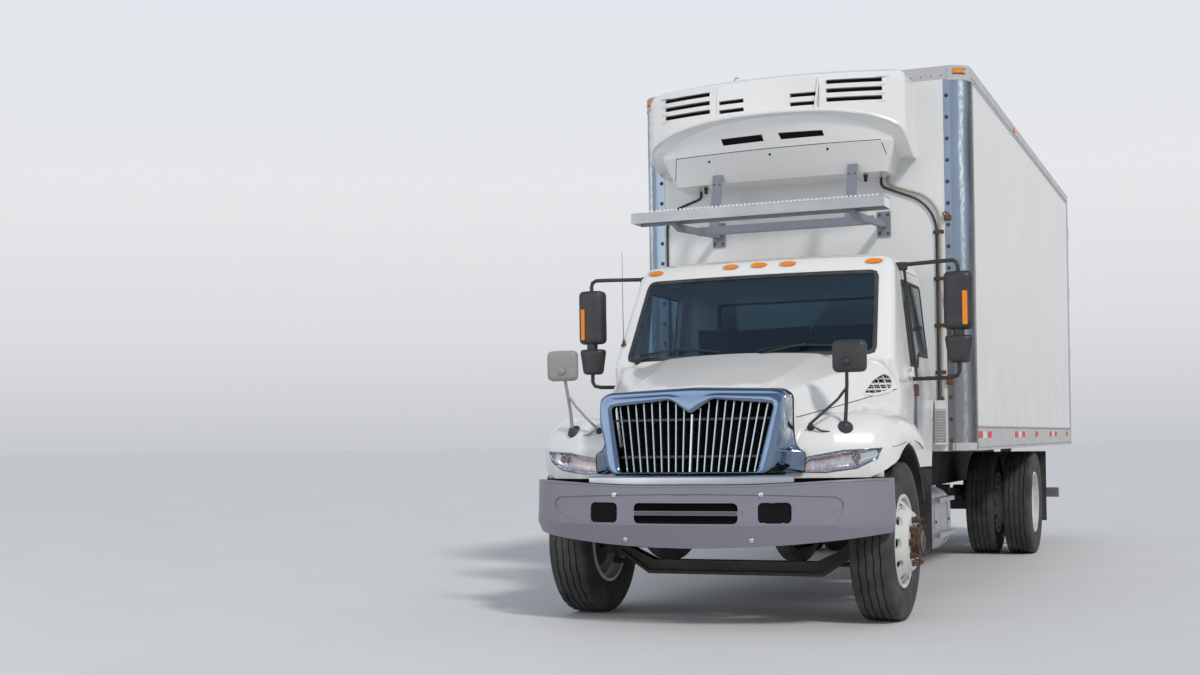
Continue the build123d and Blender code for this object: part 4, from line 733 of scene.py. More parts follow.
def spoke(turn):
    """Section of the surround in one direction: back edge, side, face, opening."""
    way = Vector((sin(turn), 0, cos(turn)))
    rim, face, gap = (Z * GRILLE_MID + way * reach(loop, turn) for loop in (RIM, FACE, OPENING))
    flare = eased((1.330 - rim.z) / 0.230) if abs(way.x) > 0.3 else 0.0
    deep = SURROUND_BACK - face_station(face.z)
    # Bezier curve from the face's edge to the back edge, as (share outwards, share of the depth)
    ends = [(0, 0), (0.92 - 0.57 * flare, 0.0), (1.0 - 0.75 * flare, 0.12 + 0.83 * flare), (1, 1)]
    row = []
    for u in steps(1, 0, 12):
        w = ((1 - u) ** 3, 3 * u * (1 - u) ** 2, 3 * u * u * (1 - u), u ** 3)
        out, back = (sum(a * e[i] for a, e in zip(w, ends)) for i in (0, 1))
        q = face.lerp(rim, out)
        row.append(P(q.x, face_station(face.z) + deep * back, q.z))
    for v in (0.2, 0.4, 0.6, 0.8):
        q = face.lerp(gap, v)
        row.append(P(q.x, face_station(q.z) - 0.007 * sin(pi * v), q.z))
    for grow, back in RETURN:
        q = gap + way * grow
        row.append(P(q.x, face_station(q.z) + back, q.z))
    return row, P(rim.x, 0.0, rim.z), way


form = Form()
spokes = [spoke(a) for a in turns]
form.loft([[row[i] for row, _, _ in spokes] for i in range(len(spokes[0][0]))], closed=True)
form.done("chrome_surround", "chrome", "hood", "chrome", ("grille_surround",), 50)
form = Form()
form.loft([[edge + way * out + Vector((0, s, 0)) for _, edge, way in spokes]
           for out, s in ((-0.004, 0.2876), (0.0045, 0.2876), (0.0045, 0.2912), (-0.004, 0.2912))], closed=True)
form.done("surround_seal", "rubber", "hood", "rubber", angle=60)

# ---------------------------------------------------------------- bumper
bumper_tree = surface("bumper")


def sag(x):
    """Drop of the bumper's top edge towards the middle."""
    return 0.030 * eased((1.12 - abs(x)) / 0.80)


form = Form()
form.bm.from_mesh(nodes["bumper"].data)
bmesh.ops.remove_doubles(form.bm, verts=form.bm.verts, dist=1e-5)
for k in range(-12, 13):
    whole = list(form.bm.verts) + list(form.bm.edges) + list(form.bm.faces)
    bmesh.ops.bisect_plane(form.bm, geom=whole, dist=1e-6, plane_co=(k * 0.1, 0, 0), plane_no=(1, 0, 0))
for v in form.bm.verts:
    if v.co.z > 0.900:
        v.co.z -= sag(v.co.x)
evened(form.done("bumper_face", "bumper_grey", "chassis", slot_of["bumper"], ("bumper",), 9))

form = Form()
edge, _ = laid(bumper_tree, [P(x, -1, 0.880) for x in steps(-1.20, 1.20, 60)], AFT)
form.tube([Vector((p.x, p.y + 0.0050, 0.9165 - sag(p.x))) for p in edge], 0.0070)
form.done("bumper_bead", "bumper_grey", "chassis", slot_of["bumper"])

GROOVE = ((0.0, 0.8425), (0.450, 0.836), (0.800, 0.8255), (0.905, 0.8195), (0.938, 0.7975), (0.941, 0.762),
          (0.926, 0.715))
# Painted shadow: a thin slate strip laid along the bumper's groove stands for the shade line in it.
form = Form()
for side, _ in SIDES:
    form.trim(bumper_tree, "front", [(side * x, z) for x, z in GROOVE], 0.0060, 0.0004, 0.03, sink=0.001)
form.done("bumper_groove_shadow", "slate", "chassis", slot_of["bumper"])

form = Form()
for x, z in ((-0.474, 0.838), (0.474, 0.838), (-0.407, 0.561), (0.407, 0.561)):
    p, n = drop(bumper_tree, P(x, -1, z), AFT)
    form.turned([(-0.002, 0.0165), (0.002, 0.0165), (0.0035, 0.0150)], p, n, 20)
    form.dome(p + n * 0.003, n, 0.0125, 0.007, 14)
form.done("bumper_bolts", "bar_chrome", "chassis", "chrome")

FOG_X, FOG_Z = 0.552, 0.727
form = Form()
for side, _ in SIDES:
    mouth = rect(side * 0.458, side * 0.646, 0.668, 0.786, 0, 0.028)
    skin, _ = drop(bumper_tree, P(side * FOG_X, -1, 0.66), AFT)
    rings = []
    for depth, grow in ((0.0060, 1.0), (0.0105, 0.985), (0.0115, 0.94), (0.0118, 0.0)):
        ring = []
        for q in mouth:
            x, z = side * FOG_X + (q.x - side * FOG_X) * grow, FOG_Z + (q.z - FOG_Z) * grow
            ring.append(Vector((x, skin.y + depth + (abs(x) - FOG_X) * 0.20, z)))
        rings.append(ring)
    form.loft(rings, caps=False)
form.done("fog_recesses", "dark", "chassis", "black_plastic")

form = Form()
form.block(-0.352, 0.352, 0.0590, 0.0630, 0.650, 0.802, 0.001)
for z in steps(0.664, 0.787, 6):
    form.block(-0.350, 0.350, 0.0520, 0.0592, z, z + 0.007, 0.001)
# The middle bar takes the darker second material, painted shade for its set-back place.
form.tone = 1
form.block(-0.3345, 0.3345, 0.0302, 0.0510, 0.7115, 0.7385, 0.004)
form.done("bumper_louvres", "dark bar_grey", "chassis", "black_plastic")

form = Form()
rings = []
for x in steps(-0.664, 0.664, 32):
    s, foot = 0.046 + 0.030 * (abs(x) / 0.445) ** 2, 0.926 - sag(x)
    back = max(s + 0.008, 0.079)
    rings.append([P(x, *place) for place in (
        (s + 0.004, foot), (s - 0.001, foot + 0.006), (s - 0.002, 0.934), (s, 0.943), (s + 0.006, 0.949),
        (back, 0.9525), (back, 0.945), (s + 0.010, 0.940), (s + 0.010, foot))])
form.loft(rings)
form.done("front_lip", "rear_steel", "chassis", "chrome")

# ---------------------------------------------------------------- headlights
lens_tree = surface("headlights")
LOW_EDGE = [(0.640, 0.962), (0.800, 0.958), (0.980, 0.982), (1.090, 1.040), (1.115, 1.108)]
HIGH_EDGE = [(0.640, 0.962), (0.690, 1.060), (0.900, 1.098), (1.115, 1.108)]
LENS_RIM = [(0.644, 0.966), (0.690, 1.056), (0.900, 1.094), (1.108, 1.104), (1.086, 1.042), (0.978, 0.986),
            (0.800, 0.962)]
ACROSS, ALONG = 28, 10                   # cells of a reflector bowl
CUP_X, CUP_Z, CUP_R = 0.972, 1.056, 0.024


def lens_point(side, x, z):
    found = drop(lens_tree, P(side * x, -0.5, z), AFT)
    return found and found[0]


for side, word in SIDES:
    form = Form()
    columns = []
    for u, x in zip(steps(0, 1, ACROSS), steps(0.652, 1.102, ACROSS)):
        column = []
        for v, z in zip(steps(0, 1, ALONG), steps(between(LOW_EDGE, x) + 0.003, between(HIGH_EDGE, x) - 0.003, ALONG)):
            p = lens_point(side, x, z) or lens_point(side, x - 0.006, z + (0.004 if v < 0.5 else -0.004)) or column[-1]
            bowl = (max(0.0, sin(pi * u)) * max(0.0, sin(pi * v))) ** 0.5
            column.append(p + Y * (0.0155 + 0.040 * bowl + 0.0012 * sin(x * 620) * bowl))
        columns.append([form.bm.verts.new(p) for p in column])
    for i, (a, b) in enumerate(zip(columns, columns[1:])):
        for j in range(ALONG):
            form.tone = 1 if ((i - 9) / 8.5) ** 2 + ((j - 4.5) / 4.6) ** 2 < 1 else 0
            form.face((a[j], a[j + 1], b[j + 1], b[j]))
    form.done(f"lamp_bowl_{word}", "reflector amber_reflector", "hood", "lamp_glass", angle=60)
    form = Form()
    cup = lens_point(side, CUP_X, CUP_Z) + Y * 0.020
    form.turned([(0.030, 0.009), (0.024, CUP_R * 0.45), (0.010, CUP_R * 0.84), (0.0, CUP_R), (0.001, CUP_R + 0.003),
                 (0.012, CUP_R + 0.002), (0.034, 0.012)], cup, AFT, 28)
    form.tone = 1
    form.turned([(-0.002, 0.0), (0.000, 0.007), (0.008, 0.0085), (0.028, 0.0085)], cup + Y * 0.002, AFT, 14)
    form.done(f"lamp_cups_{word}", "amber_reflector bulb", "hood", "lamp_glass", angle=50)
    form = Form()
    form.trim(lens_tree, "front", [(side * x, z) for x, z in LENS_RIM], 0.007, 0.0018, 0.03, 0.020)
    form.done(f"lamp_rim_{word}", "chrome", "hood", "chrome")

# ---------------------------------------------------------------- seals, door trim, wipers, antenna
cab_tree = surface("cab_shell", "cab_glass", "door_left", "door_right", "door_glass_left", "door_glass_right")
form = Form()
form.trim(cab_tree, "front", ((-0.882, 1.738), (0.882, 1.738), (0.832, 2.315), (-0.832, 2.315)), 0.030, 0.006,
          0.05, 0.05, 5)
form.trim(cab_tree, "back", ((-0.637, 1.753), (0.637, 1.753), (0.637, 2.227), (-0.637, 2.227)), 0.028, 0.006,
          0.1, 0.04)
form.done("glass_seals", "rubber", "chassis", "rubber")

WINDOW = ((1.928, 1.668), (2.190, 1.668), (2.260, 1.768), (2.587, 1.768), (2.587, 2.267), (1.928, 2.267))
for side, word in SIDES:
    form = Form()
    form.trim(cab_tree, side, WINDOW, 0.022, 0.004, 0.06, 0.03)
    form.trim(cab_tree, side, [(2.012, z) for z in steps(1.672, 2.262, 8)], 0.026, 0.005)
    form.tone = 1
    form.trim(cab_tree, side, [(s, 1.757) for s in steps(2.265, 2.585, 6)], 0.020, 0.008)
    form.done(f"window_trim_{word}", "rubber rust_trim", f"{word}_door", "rubber")

    form = Form()
    form.trim(cab_tree, side, [(2.550, z) for z in steps(1.190, 1.410, 6)], 0.026, 0.009)
    form.tone = 1
    lock, normal = drop(cab_tree, outside(side, 2.600, 1.300), TOWARDS[side])
    form.dome(lock, normal, 0.013, 0.004, 16)
    skin = drop(cab_tree, outside(side, 1.962, 1.500), TOWARDS[side])[0].x
    form.tone = 2
    form.block(skin - side * 0.004, skin + side * 0.026, 1.935, 1.990, 1.455, 1.538, 0.004)
    form.tone = 3
    form.block(skin - side * 0.010, skin + side * 0.014, 1.944, 1.982, 1.190, 1.454, 0.005)
    form.done(f"door_fittings_{word}", "black_plastic chrome rust_trim slate", f"{word}_door", "black_plastic")

form = Form()
for x0, x1 in ((-0.800, -0.160), (0.090, 0.770)):
    pivot, n0 = drop(cab_tree, P(x0, -1, 1.722), AFT)
    blade = [P(x, -1, 1.762 + 0.030 * sin(t)) for x, t in zip(steps(x0 + 0.02, x1, 12), steps(0, pi, 12))]
    points, normals = laid(cab_tree, blade, AFT, 0.010)
    form.tube(points, 0.0055, 6)
    form.tube([p + n * 0.008 for p, n in zip(points, normals)], 0.0040, 6)
    mid = len(points) // 2
    form.turned([(-0.010, 0.020), (0.014, 0.020), (0.022, 0.014)], pivot, n0, 14)
    top = points[mid] + normals[mid] * 0.018
    form.tube([pivot + n0 * 0.018, pivot.lerp(top, 0.4) + n0 * 0.020, pivot.lerp(top, 0.8) + n0 * 0.010, top],
              [0.010, 0.008, 0.006, 0.005], 8, 0.6)
form.done("wipers", "black_plastic", "chassis", "black_plastic")

foot, _ = drop(cab_tree, P(-0.955, 1.46, 4), DOWN)
form = Form()
form.turned([(-0.004, 0.022), (0.006, 0.022), (0.020, 0.012), (0.045, 0.007)], foot, UP, 14)
form.tube([foot + Vector(way) for way in ((0, 0, 0.03), (-0.004, 0, 0.25), (-0.006, 0.004, 0.68))],
          [0.0030, 0.0024, 0.0014], 6)
form.done("antenna", "black_plastic", "chassis", "black_plastic")

# ---------------------------------------------------------------- hood details
hood_tree = surface("hood_shell")
form = Form()
for side, _ in SIDES:
    form.trim(hood_tree, side, zip(steps(0.33, 1.39, 28), steps(1.300, 1.490, 28)), 0.0050, 0.0006, sink=0.001)
    form.trim(hood_tree, side, zip(steps(0.555, 0.855, 12), steps(1.113, 1.141, 12)), 0.0045, 0.0006, sink=0.001)
form.done("hood_seams", "dark", "hood", "rubber")

VENT_FRAME = ((1.005, 1.452), (1.150, 1.450), (1.325, 1.479), (1.378, 1.528), (1.374, 1.580), (1.312, 1.599),
              (1.180, 1.556))
form = Form()
for side, _ in SIDES:
    form.trim(hood_tree, side, VENT_FRAME, 0.020, 0.007, 0.03, 0.03)
form.done("vent_frames", "paint_white", "hood", "paint_white")

VENT = [(1.018, 1.460), (1.150, 1.459), (1.321, 1.487), (1.370, 1.531), (1.366, 1.576), (1.309, 1.592), (1.180, 1.548)]
VENT_LOW, VENT_HIGH = 1.445, 1.602       # levels of solid panel below and above the vent
VENT_SKIN = 0.0012


def vent_spot(side, s, z):
    """Point just off the hood's side over the vent, from the solid panel round it."""
    low, high = (abs(drop(hood_tree, outside(side, min(s, 1.375), level), TOWARDS[side])[0].x)
                 for level in (VENT_LOW, VENT_HIGH))
    return P(side * (low + (high - low) * (z - VENT_LOW) / (VENT_HIGH - VENT_LOW) + VENT_SKIN), s, z)


def vent_reach(z):
    """First and last station of the vent at a height."""
    cuts = [s0 + (s1 - s0) * (z - z0) / (z1 - z0) for (s0, z0), (s1, z1) in zip(VENT, VENT[1:] + VENT[:1])
            if min(z0, z1) <= z < max(z0, z1)]
    return min(cuts), max(cuts)


form = Form()
for side, _ in SIDES:
    out = Vector((side, 0, 0.3)).normalized()
    form.tone = 0
    form.prism([vent_spot(side, s, z) for s, z in VENT], (-side * 0.010, 0, 0))
    form.tone = 1
    for z in steps(1.479, 1.5555, 3):
        row = [vent_spot(side, s, level) for s, level in zip(steps(*vent_reach(z), 8), steps(z - 0.004, z + 0.004, 8))]
        form.strip(row, [out] * 9, 0.0065, 0.0035, sink=0.001)
    for s in steps(1.085, 1.335, 5):
        inside = []
        for z in steps(1.4595, 1.589, 37):
            near, far = vent_reach(z)
            if near < s < far:
                inside.append(z)
        low, high = inside[0], inside[-1]
        column = [vent_spot(side, s - 0.010 * (z - low), z) for z in (low, (low + high) / 2, high)]
        form.strip(column, [out] * 3, 0.0055, 0.0030, sink=0.001)
form.done("vent_backs", "dark grey_plastic", "hood", "black_plastic")

LINER_R = 0.616
LINER = ((0.60, 0.0), (1.150, 0.0), (1.158, 0.012), (1.154, 0.016), (1.140, 0.006), (0.60, 0.006))
for side, word in SIDES:
    form = Form()
    form.loft([[P(side * x, FRONT, WHEEL_Z) + (Y * cos(a) + Z * sin(a)) * (LINER_R + d) for x, d in LINER]
               for a in steps(radians(158), radians(22), 24)])
    form.done(f"arch_liner_{word}", "rubber", "hood", "rubber", angle=50)


# ---------------------------------------------------------------- mirrors
def paired(side, places):
    """Points of (x, station, z), mirrored for side -1."""
    return [P(side * x, s, z) for x, s, z in places]


form = Form()
for side, _ in SIDES:
    sunlit_tone = 1 if side < 0 else 0         # black plastic on the driver's side; the other side's grey is painted sunlight on the same black plastic
    cx, z0, z1 = side * 0.950, 1.567, 1.765
    form.tone = sunlit_tone
    form.loft([rect(cx - 0.104 + d, cx + 0.104 - d, z0 + d, z1 - d, s, 0.040, 5) for s, d in (
        (0.3325, 0.026), (0.3385, 0.010), (0.3505, 0.002), (0.3725, 0.0), (0.3865, 0.001), (0.3875, 0.006))])
    form.tone = 2
    form.prism(rect(cx - 0.095, cx + 0.095, z0 + 0.010, z1 - 0.010, 0.3875, 0.034, 5), (0, 0.0012, 0))
    form.tone = sunlit_tone
    form.tube(paired(side, ((0.904, 0.414, 1.205), (0.915, 0.409, 1.35), (0.928, 0.384, 1.50),
                            (0.936, 0.352, 1.612))), [0.013, 0.011, 0.011, 0.010], 10)
    form.turned([(0.0, 0.021), (0.010, 0.024), (0.020, 0.020), (0.026, 0.010)], P(side * 0.938, 0.337, 1.630), FORE,
                16)
    form.tube(paired(side, ((0.699, 0.340, 1.252), (0.780, 0.352, 1.322), (0.870, 0.380, 1.405),
                            (0.924, 0.388, 1.475))), [0.009, 0.0085, 0.0085, 0.009], 10)
    form.tube(paired(side, ((0.704, 0.343, 1.252), (0.770, 0.364, 1.216), (0.850, 0.398, 1.204),
                            (0.900, 0.414, 1.214))), 0.0060)
    form.tone = 0
    form.turned([(-0.010, 0.047), (0.004, 0.047), (0.012, 0.041), (0.024, 0.028), (0.034, 0.016), (0.038, 0.0)],
                *drop(hood_tree, P(side * 0.904, 0.430, 1.5), DOWN), 24)
    form.turned([(-0.006, 0.024), (0.006, 0.024), (0.016, 0.018), (0.020, 0.0)],
                *drop(hood_tree, P(side * 0.700, 0.10, 1.235), AFT), 18)
form.done("hood_mirror_set", "black_plastic grey_plastic mirror", "hood", "black_plastic", ("hood_mirrors",))

MIRROR_X, MIRROR_S = 1.360, 1.835


def head(side, z0, z1, w0, w1, front, back, bend):
    """Mirror housing: domed front, flat back, and ends rounded by a bend."""
    rings = []
    for k in range(17):
        t = (1 - cos(pi * k / 16)) / 2
        end = min(t, 1 - t) * (z1 - z0)
        pull = bend - sqrt(max(0.0, bend ** 2 - max(0.0, bend - end) ** 2))
        a, f, g = w0 + (w1 - w0) * t - pull, pull * 0.9 - front, back - pull * 0.3
        half = [(0, f), (0.30 * a, f + 0.0015), (0.56 * a, f + 0.006), (0.76 * a, f + 0.014), (0.90 * a, f + 0.026),
                (0.98 * a, -0.012), (a, 0.012), (a, g - 0.012), (a - 0.005, g - 0.003), (a - 0.014, g)]
        rings.append([P(side * MIRROR_X + x, MIRROR_S + s, z0 + (z1 - z0) * t)
                      for x, s in half + [(-x, s) for x, s in reversed(half[1:])]])
    return rings


for side, word in SIDES:
    form = Form()
    cx, cs = side * MIRROR_X, MIRROR_S
    form.loft(head(side, 1.900, 2.299, 0.0995, 0.0995, 0.058, 0.056, 0.034))
    form.loft(head(side, 1.673, 1.861, 0.070, 0.0985, 0.054, 0.052, 0.024))
    form.turned([(0.0, 0.040), (0.045, 0.040)], P(cx, cs, 1.857), UP, 16)
    form.tube(paired(side, ((0.985, 1.930, 2.375), (1.10, 1.918, 2.378), (1.26, 1.862, 2.378), (1.325, 1.842, 2.376),
                            (1.352, 1.836, 2.360), (1.360, 1.835, 2.330), (1.360, 1.835, 2.280))), 0.0142, 12)
    form.tube(paired(side, ((1.010, 1.952, 1.575), (1.16, 1.902, 1.574), (1.30, 1.854, 1.575), (1.345, 1.840, 1.586),
                            (1.360, 1.835, 1.615), (1.360, 1.835, 1.690))), 0.0142, 12)
    form.tube(paired(side, ((0.972, 1.935, 2.350), (1.010, 1.936, 1.98), (1.050, 1.938, 1.575))), 0.010, 10)
    form.tone = 2
    form.prism(rect(cx - 0.088, cx + 0.088, 1.912, 2.287, cs + 0.0565, 0.03), (0, 0.0015, 0))
    form.prism(rounded([P(cx + x, cs + 0.0525, z) for x, z in (
        (-0.060, 1.684), (0.060, 1.684), (0.088, 1.850), (-0.088, 1.850))], 0.02), (0, 0.0015, 0))
    form.tone = 1
    form.prism(rounded([P(cx + side * x, cs - s, z) for x, s, z in (
        (0.036, 0.0545, 1.930), (0.068, 0.046, 1.930), (0.068, 0.046, 2.160), (0.036, 0.0545, 2.160))], 0.008, 3),
        (0, -0.0080, 0))
    form.tone = 0
    form.block(side * 0.905, side * 0.996, 1.905, 1.952, 2.335, 2.392, 0.008)
    form.done(f"mirror_set_{word}", "black_plastic lamp_amber mirror", f"{word}_door", "black_plastic",
              (f"mirror_{word}",))

# ---------------------------------------------------------------- load box
RIVET = [(-0.0005, 0.0062), (0.0016, 0.0056), (0.0028, 0.0028)]
BIG_RIVET = [(-0.0005, 0.0095), (0.0016, 0.0085), (0.0030, 0.0045)]
POST_BOLT = [(-0.001, 0.0160), (0.002, 0.0155), (0.003, 0.0115), (0.009, 0.0105), (0.011, 0.0070)]
form = Form()
for side, _ in SIDES:
    out = Vector((side, 0, 0))
    form.tone = 0
    for s in steps(2.965, 9.680, 111):
        for profile, z in ((BIG_RIVET, 1.236), (RIVET, 1.084), (BIG_RIVET, 3.862)):
            form.turned(profile, P(side * 1.295, s, z), out, 6)
    for z in steps(1.095, 3.8145, 37):
        form.turned(RIVET, P(side * 1.295, 2.916, z), out, 6)
    form.tone = 1
    for z in steps(1.140, 3.716, 16):
        form.turned(POST_BOLT, P(side * 1.136, 2.7785, z), FORE, 12)
form.tone = 0
for x in steps(-1.10, 1.10, 29):
    form.turned(RIVET, P(x, 2.780, 3.870), FORE, 6)
form.done("box_rivets", "slate rust_trim", "chassis", "stainless")

form = Form()
for side, _ in SIDES:
    form.block(side * 1.112, side * 1.166, 2.7780, 2.7815, 1.062, 3.838, 0.0008)
    form.block(side * 1.2940, side * 1.2965, 2.926, 3.005, 1.062, 3.838, 0.0008)
form.done("post_flanges", "stainless", "chassis", "stainless")

form = Form()
for z in (2.800, 2.180, 1.575):
    form.block(1.106, 1.158, 2.7600, 2.7785, z - 0.020, z + 0.022, 0.004)
    form.hexagon(P(1.130, 2.7605, z + 0.004), FORE, 0.015, 0.012)
    form.tube([P(x, s, z + up) for x, s, up in (
        (1.112, 2.766, 0.010), (1.100, 2.752, 0.034), (1.118, 2.748, 0.046), (1.140, 2.764, 0.030))], 0.0055)
form.done("post_clamps", "rust_orange", "chassis", "cast_iron")

# Tape for each tone, red and white: thickness, half height, stations; then half length and x on the guard
TAPE = ((0.0010, 0.026, (3.12, 3.57, 5.14, 5.60, 6.56, 7.74, 8.20, 9.31), 0.150, (-0.85, -0.38, 0.38, 0.85)),
        (0.0009, 0.025, (3.345, 5.37, 7.97), 0.075, (-0.61, 0.0, 0.61)))
form = Form()
for tone, (thick, half, stations, reach_x, places) in enumerate(TAPE):
    form.tone = tone
    for side, _ in SIDES:
        for s in stations:
            form.block(side * 1.2948, side * (1.2948 + thick), s - 0.110, s + 0.110, 1.180 - half, 1.180 + half,
                       0.0003)
    for x in places:
        form.block(x - reach_x, x + reach_x, 9.7945, 9.7962, 0.480, 0.530, 0.0003)
form.done("marker_tape", "tape_red tape_white", "chassis", "aluminium")


def bend(side, radius, first, last, count, z):
    """Points round a front corner post between two angles off the front, and their normals."""
    normals = [Vector((side * sin(a), -cos(a), 0)) for a in steps(radians(first), radians(last), count)]
    return [P(side * 1.145, 2.930, z) + n * radius for n in normals], normals


form = Form()
for side, _ in SIDES:
    form.strip(*bend(side, 0.1512, 0, 90, 8, 3.836), 0.018, 0.004)
    for z0, z1 in ((3.842, 3.936), (1.062, 1.122)):
        edges = ((0.149, z0), (0.1535, z0 + 0.004), (0.1535, z1 - 0.004), (0.149, z1))
        form.loft(list(zip(*(bend(side, radius, 0, 90, 8, z)[0] for radius, z in edges))))
form.done("corner_caps", "mill", "chassis", "aluminium")

form = Form()
for side, _ in SIDES:
    for z in (3.8765, 3.9115):
        form.strip(*bend(side, 0.1515, 16, 52, 6, z), 0.006, 0.010)
for z, r, places in ((3.85, 0.026, (0, 0.16, -0.16, 1.18, -1.18)), (1.13, 0.052, (1.09, 0.96, -1.09, -0.96))):
    for x in places:
        form.turned([(0.0, r + 0.009), (0.006, r + 0.009), (0.011, r + 0.003), (0.012, r - 0.002), (0.0, r - 0.001)],
                    P(x, 9.810, z), AFT, 28, True)
form.done("lamp_bezels", "black_plastic", "chassis", "rubber")

for side, word in SIDES:
    form = Form()
    loop = divided(rect(side * 0.010, side * 1.185, 1.2085, 3.7515, 9.8100, 0.02, 3), 0.4, True)
    form.strip(loop, [Y] * len(loop), 0.022, 0.004, closed=True)
    form.tone = 1
    for x in (side * 0.420, side * 0.820):
        for z in (1.232, 3.728):
            form.block(x - 0.030, x + 0.030, 9.810, 9.836, z - 0.012, z + 0.012, 0.004)
        for z in (1.50, 2.40, 3.40):
            for dx in (-0.029, 0.029):
                form.dome(P(x + dx, 9.830, z), AFT, 0.006, 0.004, 8)
    form.tube(paired(side, ((0.420, 9.838, 1.700), (0.320, 9.839, 1.700), (0.120, 9.834, 1.692))),
              [0.010, 0.010, 0.008], 10, 0.6)
    form.block(side * 0.090, side * 0.158, 9.810, 9.832, 1.668, 1.716, 0.005)
    form.turned([(0.0, 0.0175), (0.003, 0.0205), (0.062, 0.0205), (0.065, 0.0175)], P(side * 0.420, 9.829, 1.667),
                UP, 16)
    for z in (1.42, 2.12, 2.82, 3.52):
        for x in (1.125, 1.165):
            for dz in (-0.022, 0.022):
                form.hexagon(P(side * x, 9.822, z + dz), AFT, 0.0085, 0.006)
    form.done(f"rear_door_fittings_{word}", "rubber rear_steel", f"{word}_rear_door", "stainless")

# ---------------------------------------------------------------- cooling unit
MID, HALF = -0.090, 0.997
BOW = (HALF ** 2 + 0.19 ** 2) / (2 * 0.19)


def bow(x):
    """Station of the cowl's front face at a distance across."""
    return 2.200 + BOW - sqrt(max(0.0, BOW ** 2 - (x - MID) ** 2))


form = Form()
# Slots: from and to off the middle, half height, depth of the screen, levels
for a, b, half, depth, levels in ((0.448, 0.842, 0.0165, 0.034, (3.783, 3.718, 3.652)),
                                  (0.178, 0.378, 0.0150, 0.050, (3.707, 3.641))):
    for z in levels:
        for side, _ in SIDES:
            form.loft([[P(x, bow(x) + depth + d, z + up) for d, up in (
                (0, 0.001 - half), (0, half - 0.001), (0.003, half - 0.001), (0.003, 0.001 - half))]
                for x in steps(MID + side * (a + 0.001), MID + side * (b - 0.001), 8)])
form.done("unit_slot_screens", "dark", "chassis", "black_plastic")

base_tree = surface("unit_base")
form = Form()
for panel in (((-0.474, 3.444), (-0.154, 3.448), (-0.144, 3.409), (-0.463, 3.404)),
              ((-0.020, 3.448), (0.304, 3.444), (0.314, 3.412), (-0.004, 3.409))):
    spots = []
    for x, z in panel:
        skin, _ = drop(base_tree, outside("front", x, z + (0.02 if z > 3.43 else -0.02)), AFT)
        spots.append(Vector((x, skin.y + 0.006, z)))
    form.prism(spots, (0, 0.003, 0))
form.trim(base_tree, "front", zip(steps(-0.870, 0.720, 20), steps(3.345, 3.357, 20)), 0.0050, 0.0008, sink=0.001)
for x, lean in ((0.720, 0.060), (-0.870, -0.045)):
    form.trim(base_tree, "front", zip(steps(x, x + lean, 6), steps(3.355, 3.160, 6)), 0.0050, 0.0008, sink=0.001)
for x, z in ((-0.600, 3.300), (-0.110, 3.310), (0.330, 3.316)):
    form.dome(*drop(base_tree, outside("front", x, z), AFT), 0.010, 0.004, 12)
form.done("unit_seams", "dark", "chassis", "black_plastic")

# Height of the cowl's lower edge by station
LIP = ((2.150, 3.590), (2.195, 3.585), (2.240, 3.569), (2.310, 3.520), (2.358, 3.464), (2.400, 3.405), (2.450, 3.345),
       (2.520, 3.300), (2.600, 3.274), (2.700, 3.262), (2.800, 3.262))
CORNER = HALF - 0.060
form = Form()
path = [(x, bow(x)) for x in steps(MID - CORNER, MID + CORNER, 40)]
end = [(MID + CORNER + dx, bow(MID + CORNER) + ds) for dx, ds in ((0.030, 0.014), (0.050, 0.040), (0.0595, 0.075))]
end += [(MID + HALF, s) for s in (2.48, 2.55, 2.62, 2.70, 2.776)]
points = []
for x, s in [(2 * MID - x, s) for x, s in reversed(end)] + path + end:
    inward = Vector((MID - x, 0.35, 0)).normalized() if abs(x - MID) > 0.9 else Y
    points.append(P(x, s, between(LIP, s) + 0.010) + inward * 0.009)
form.tube(points, 0.0155, 10)
for x0, lean in ((0.3085, -0.037), (-0.4885, -0.043)):
    form.loft([[P(x + dx, bow(x) + ds, z) for dx, ds in (
        (-0.010, 0.016), (-0.006, -0.003), (0.006, -0.003), (0.010, 0.016))]
        for x, z in zip(steps(x0, x0 + lean, 8), steps(3.826, 3.576, 8))])
for z in (3.807, 3.750, 3.685, 3.628):
    for side, _ in SIDES:
        a, m, b = (MID + side * off for off in (0.800, 0.8525, 0.905))
        form.tube([P(a, bow(a) + 0.004, z), P(m, bow(m) - 0.001, z), P(b, bow(b) + 0.010, z - 0.002)],
                  [0.0050, 0.0075, 0.0010], 8, 0.7)
form.done("unit_lip", "paint_white", "chassis", "paint_white")

form = Form()
form.turned([(-0.002, 0.020), (0.004, 0.020), (0.010, 0.012)], P(-0.400, 2.420, 3.872), UP, 14)
form.tube([P(x, 2.420, z) for x, z in ((-0.400, 3.872), (-0.400, 3.915), (-0.385, 3.930), (-0.368, 3.922))], 0.0060)
form.tone = 1
for x in (-0.700, 0.560):
    foot, _ = drop(base_tree, P(x, 2.60, 2), UP)
    form.turned([(-0.005, 0.017), (0.020, 0.017), (0.024, 0.013), (0.050, 0.013), (0.052, 0.0)], foot, DOWN, 12)
form.done("unit_fittings", "aluminium rubber", "chassis", "aluminium")

# ---------------------------------------------------------------- walkway, clips and junction box
TOOTH = 0.0305
EYELET = [(-0.0005, 0.0095), (0.0045, 0.0075), (0.0050, 0.0050), (0.0010, 0.0038)]
form = Form()
for k in range(60):
    x = -0.955 + k * TOOTH
    for s in (1.650, 1.845):
        form.prism([P(x + TOOTH * share, s, z) for share, z in (
            (0, 2.829), (0.16, 2.843), (0.50, 2.843), (0.66, 2.829))], (0, 0.005, 0))
    for s, shift in ((1.690, 0), (1.730, TOOTH / 2), (1.770, 0), (1.810, TOOTH / 2)):
        form.turned(EYELET, P(x + 0.014 + shift, s, 2.830), UP, 6)
for x in (-0.958, 0.898):
    form.block(x - 0.002, x + 0.002, 1.652, 1.848, 2.757, 2.836, 0.0008)
form.done("walkway_teeth", "aluminium_bright", "chassis", "aluminium")

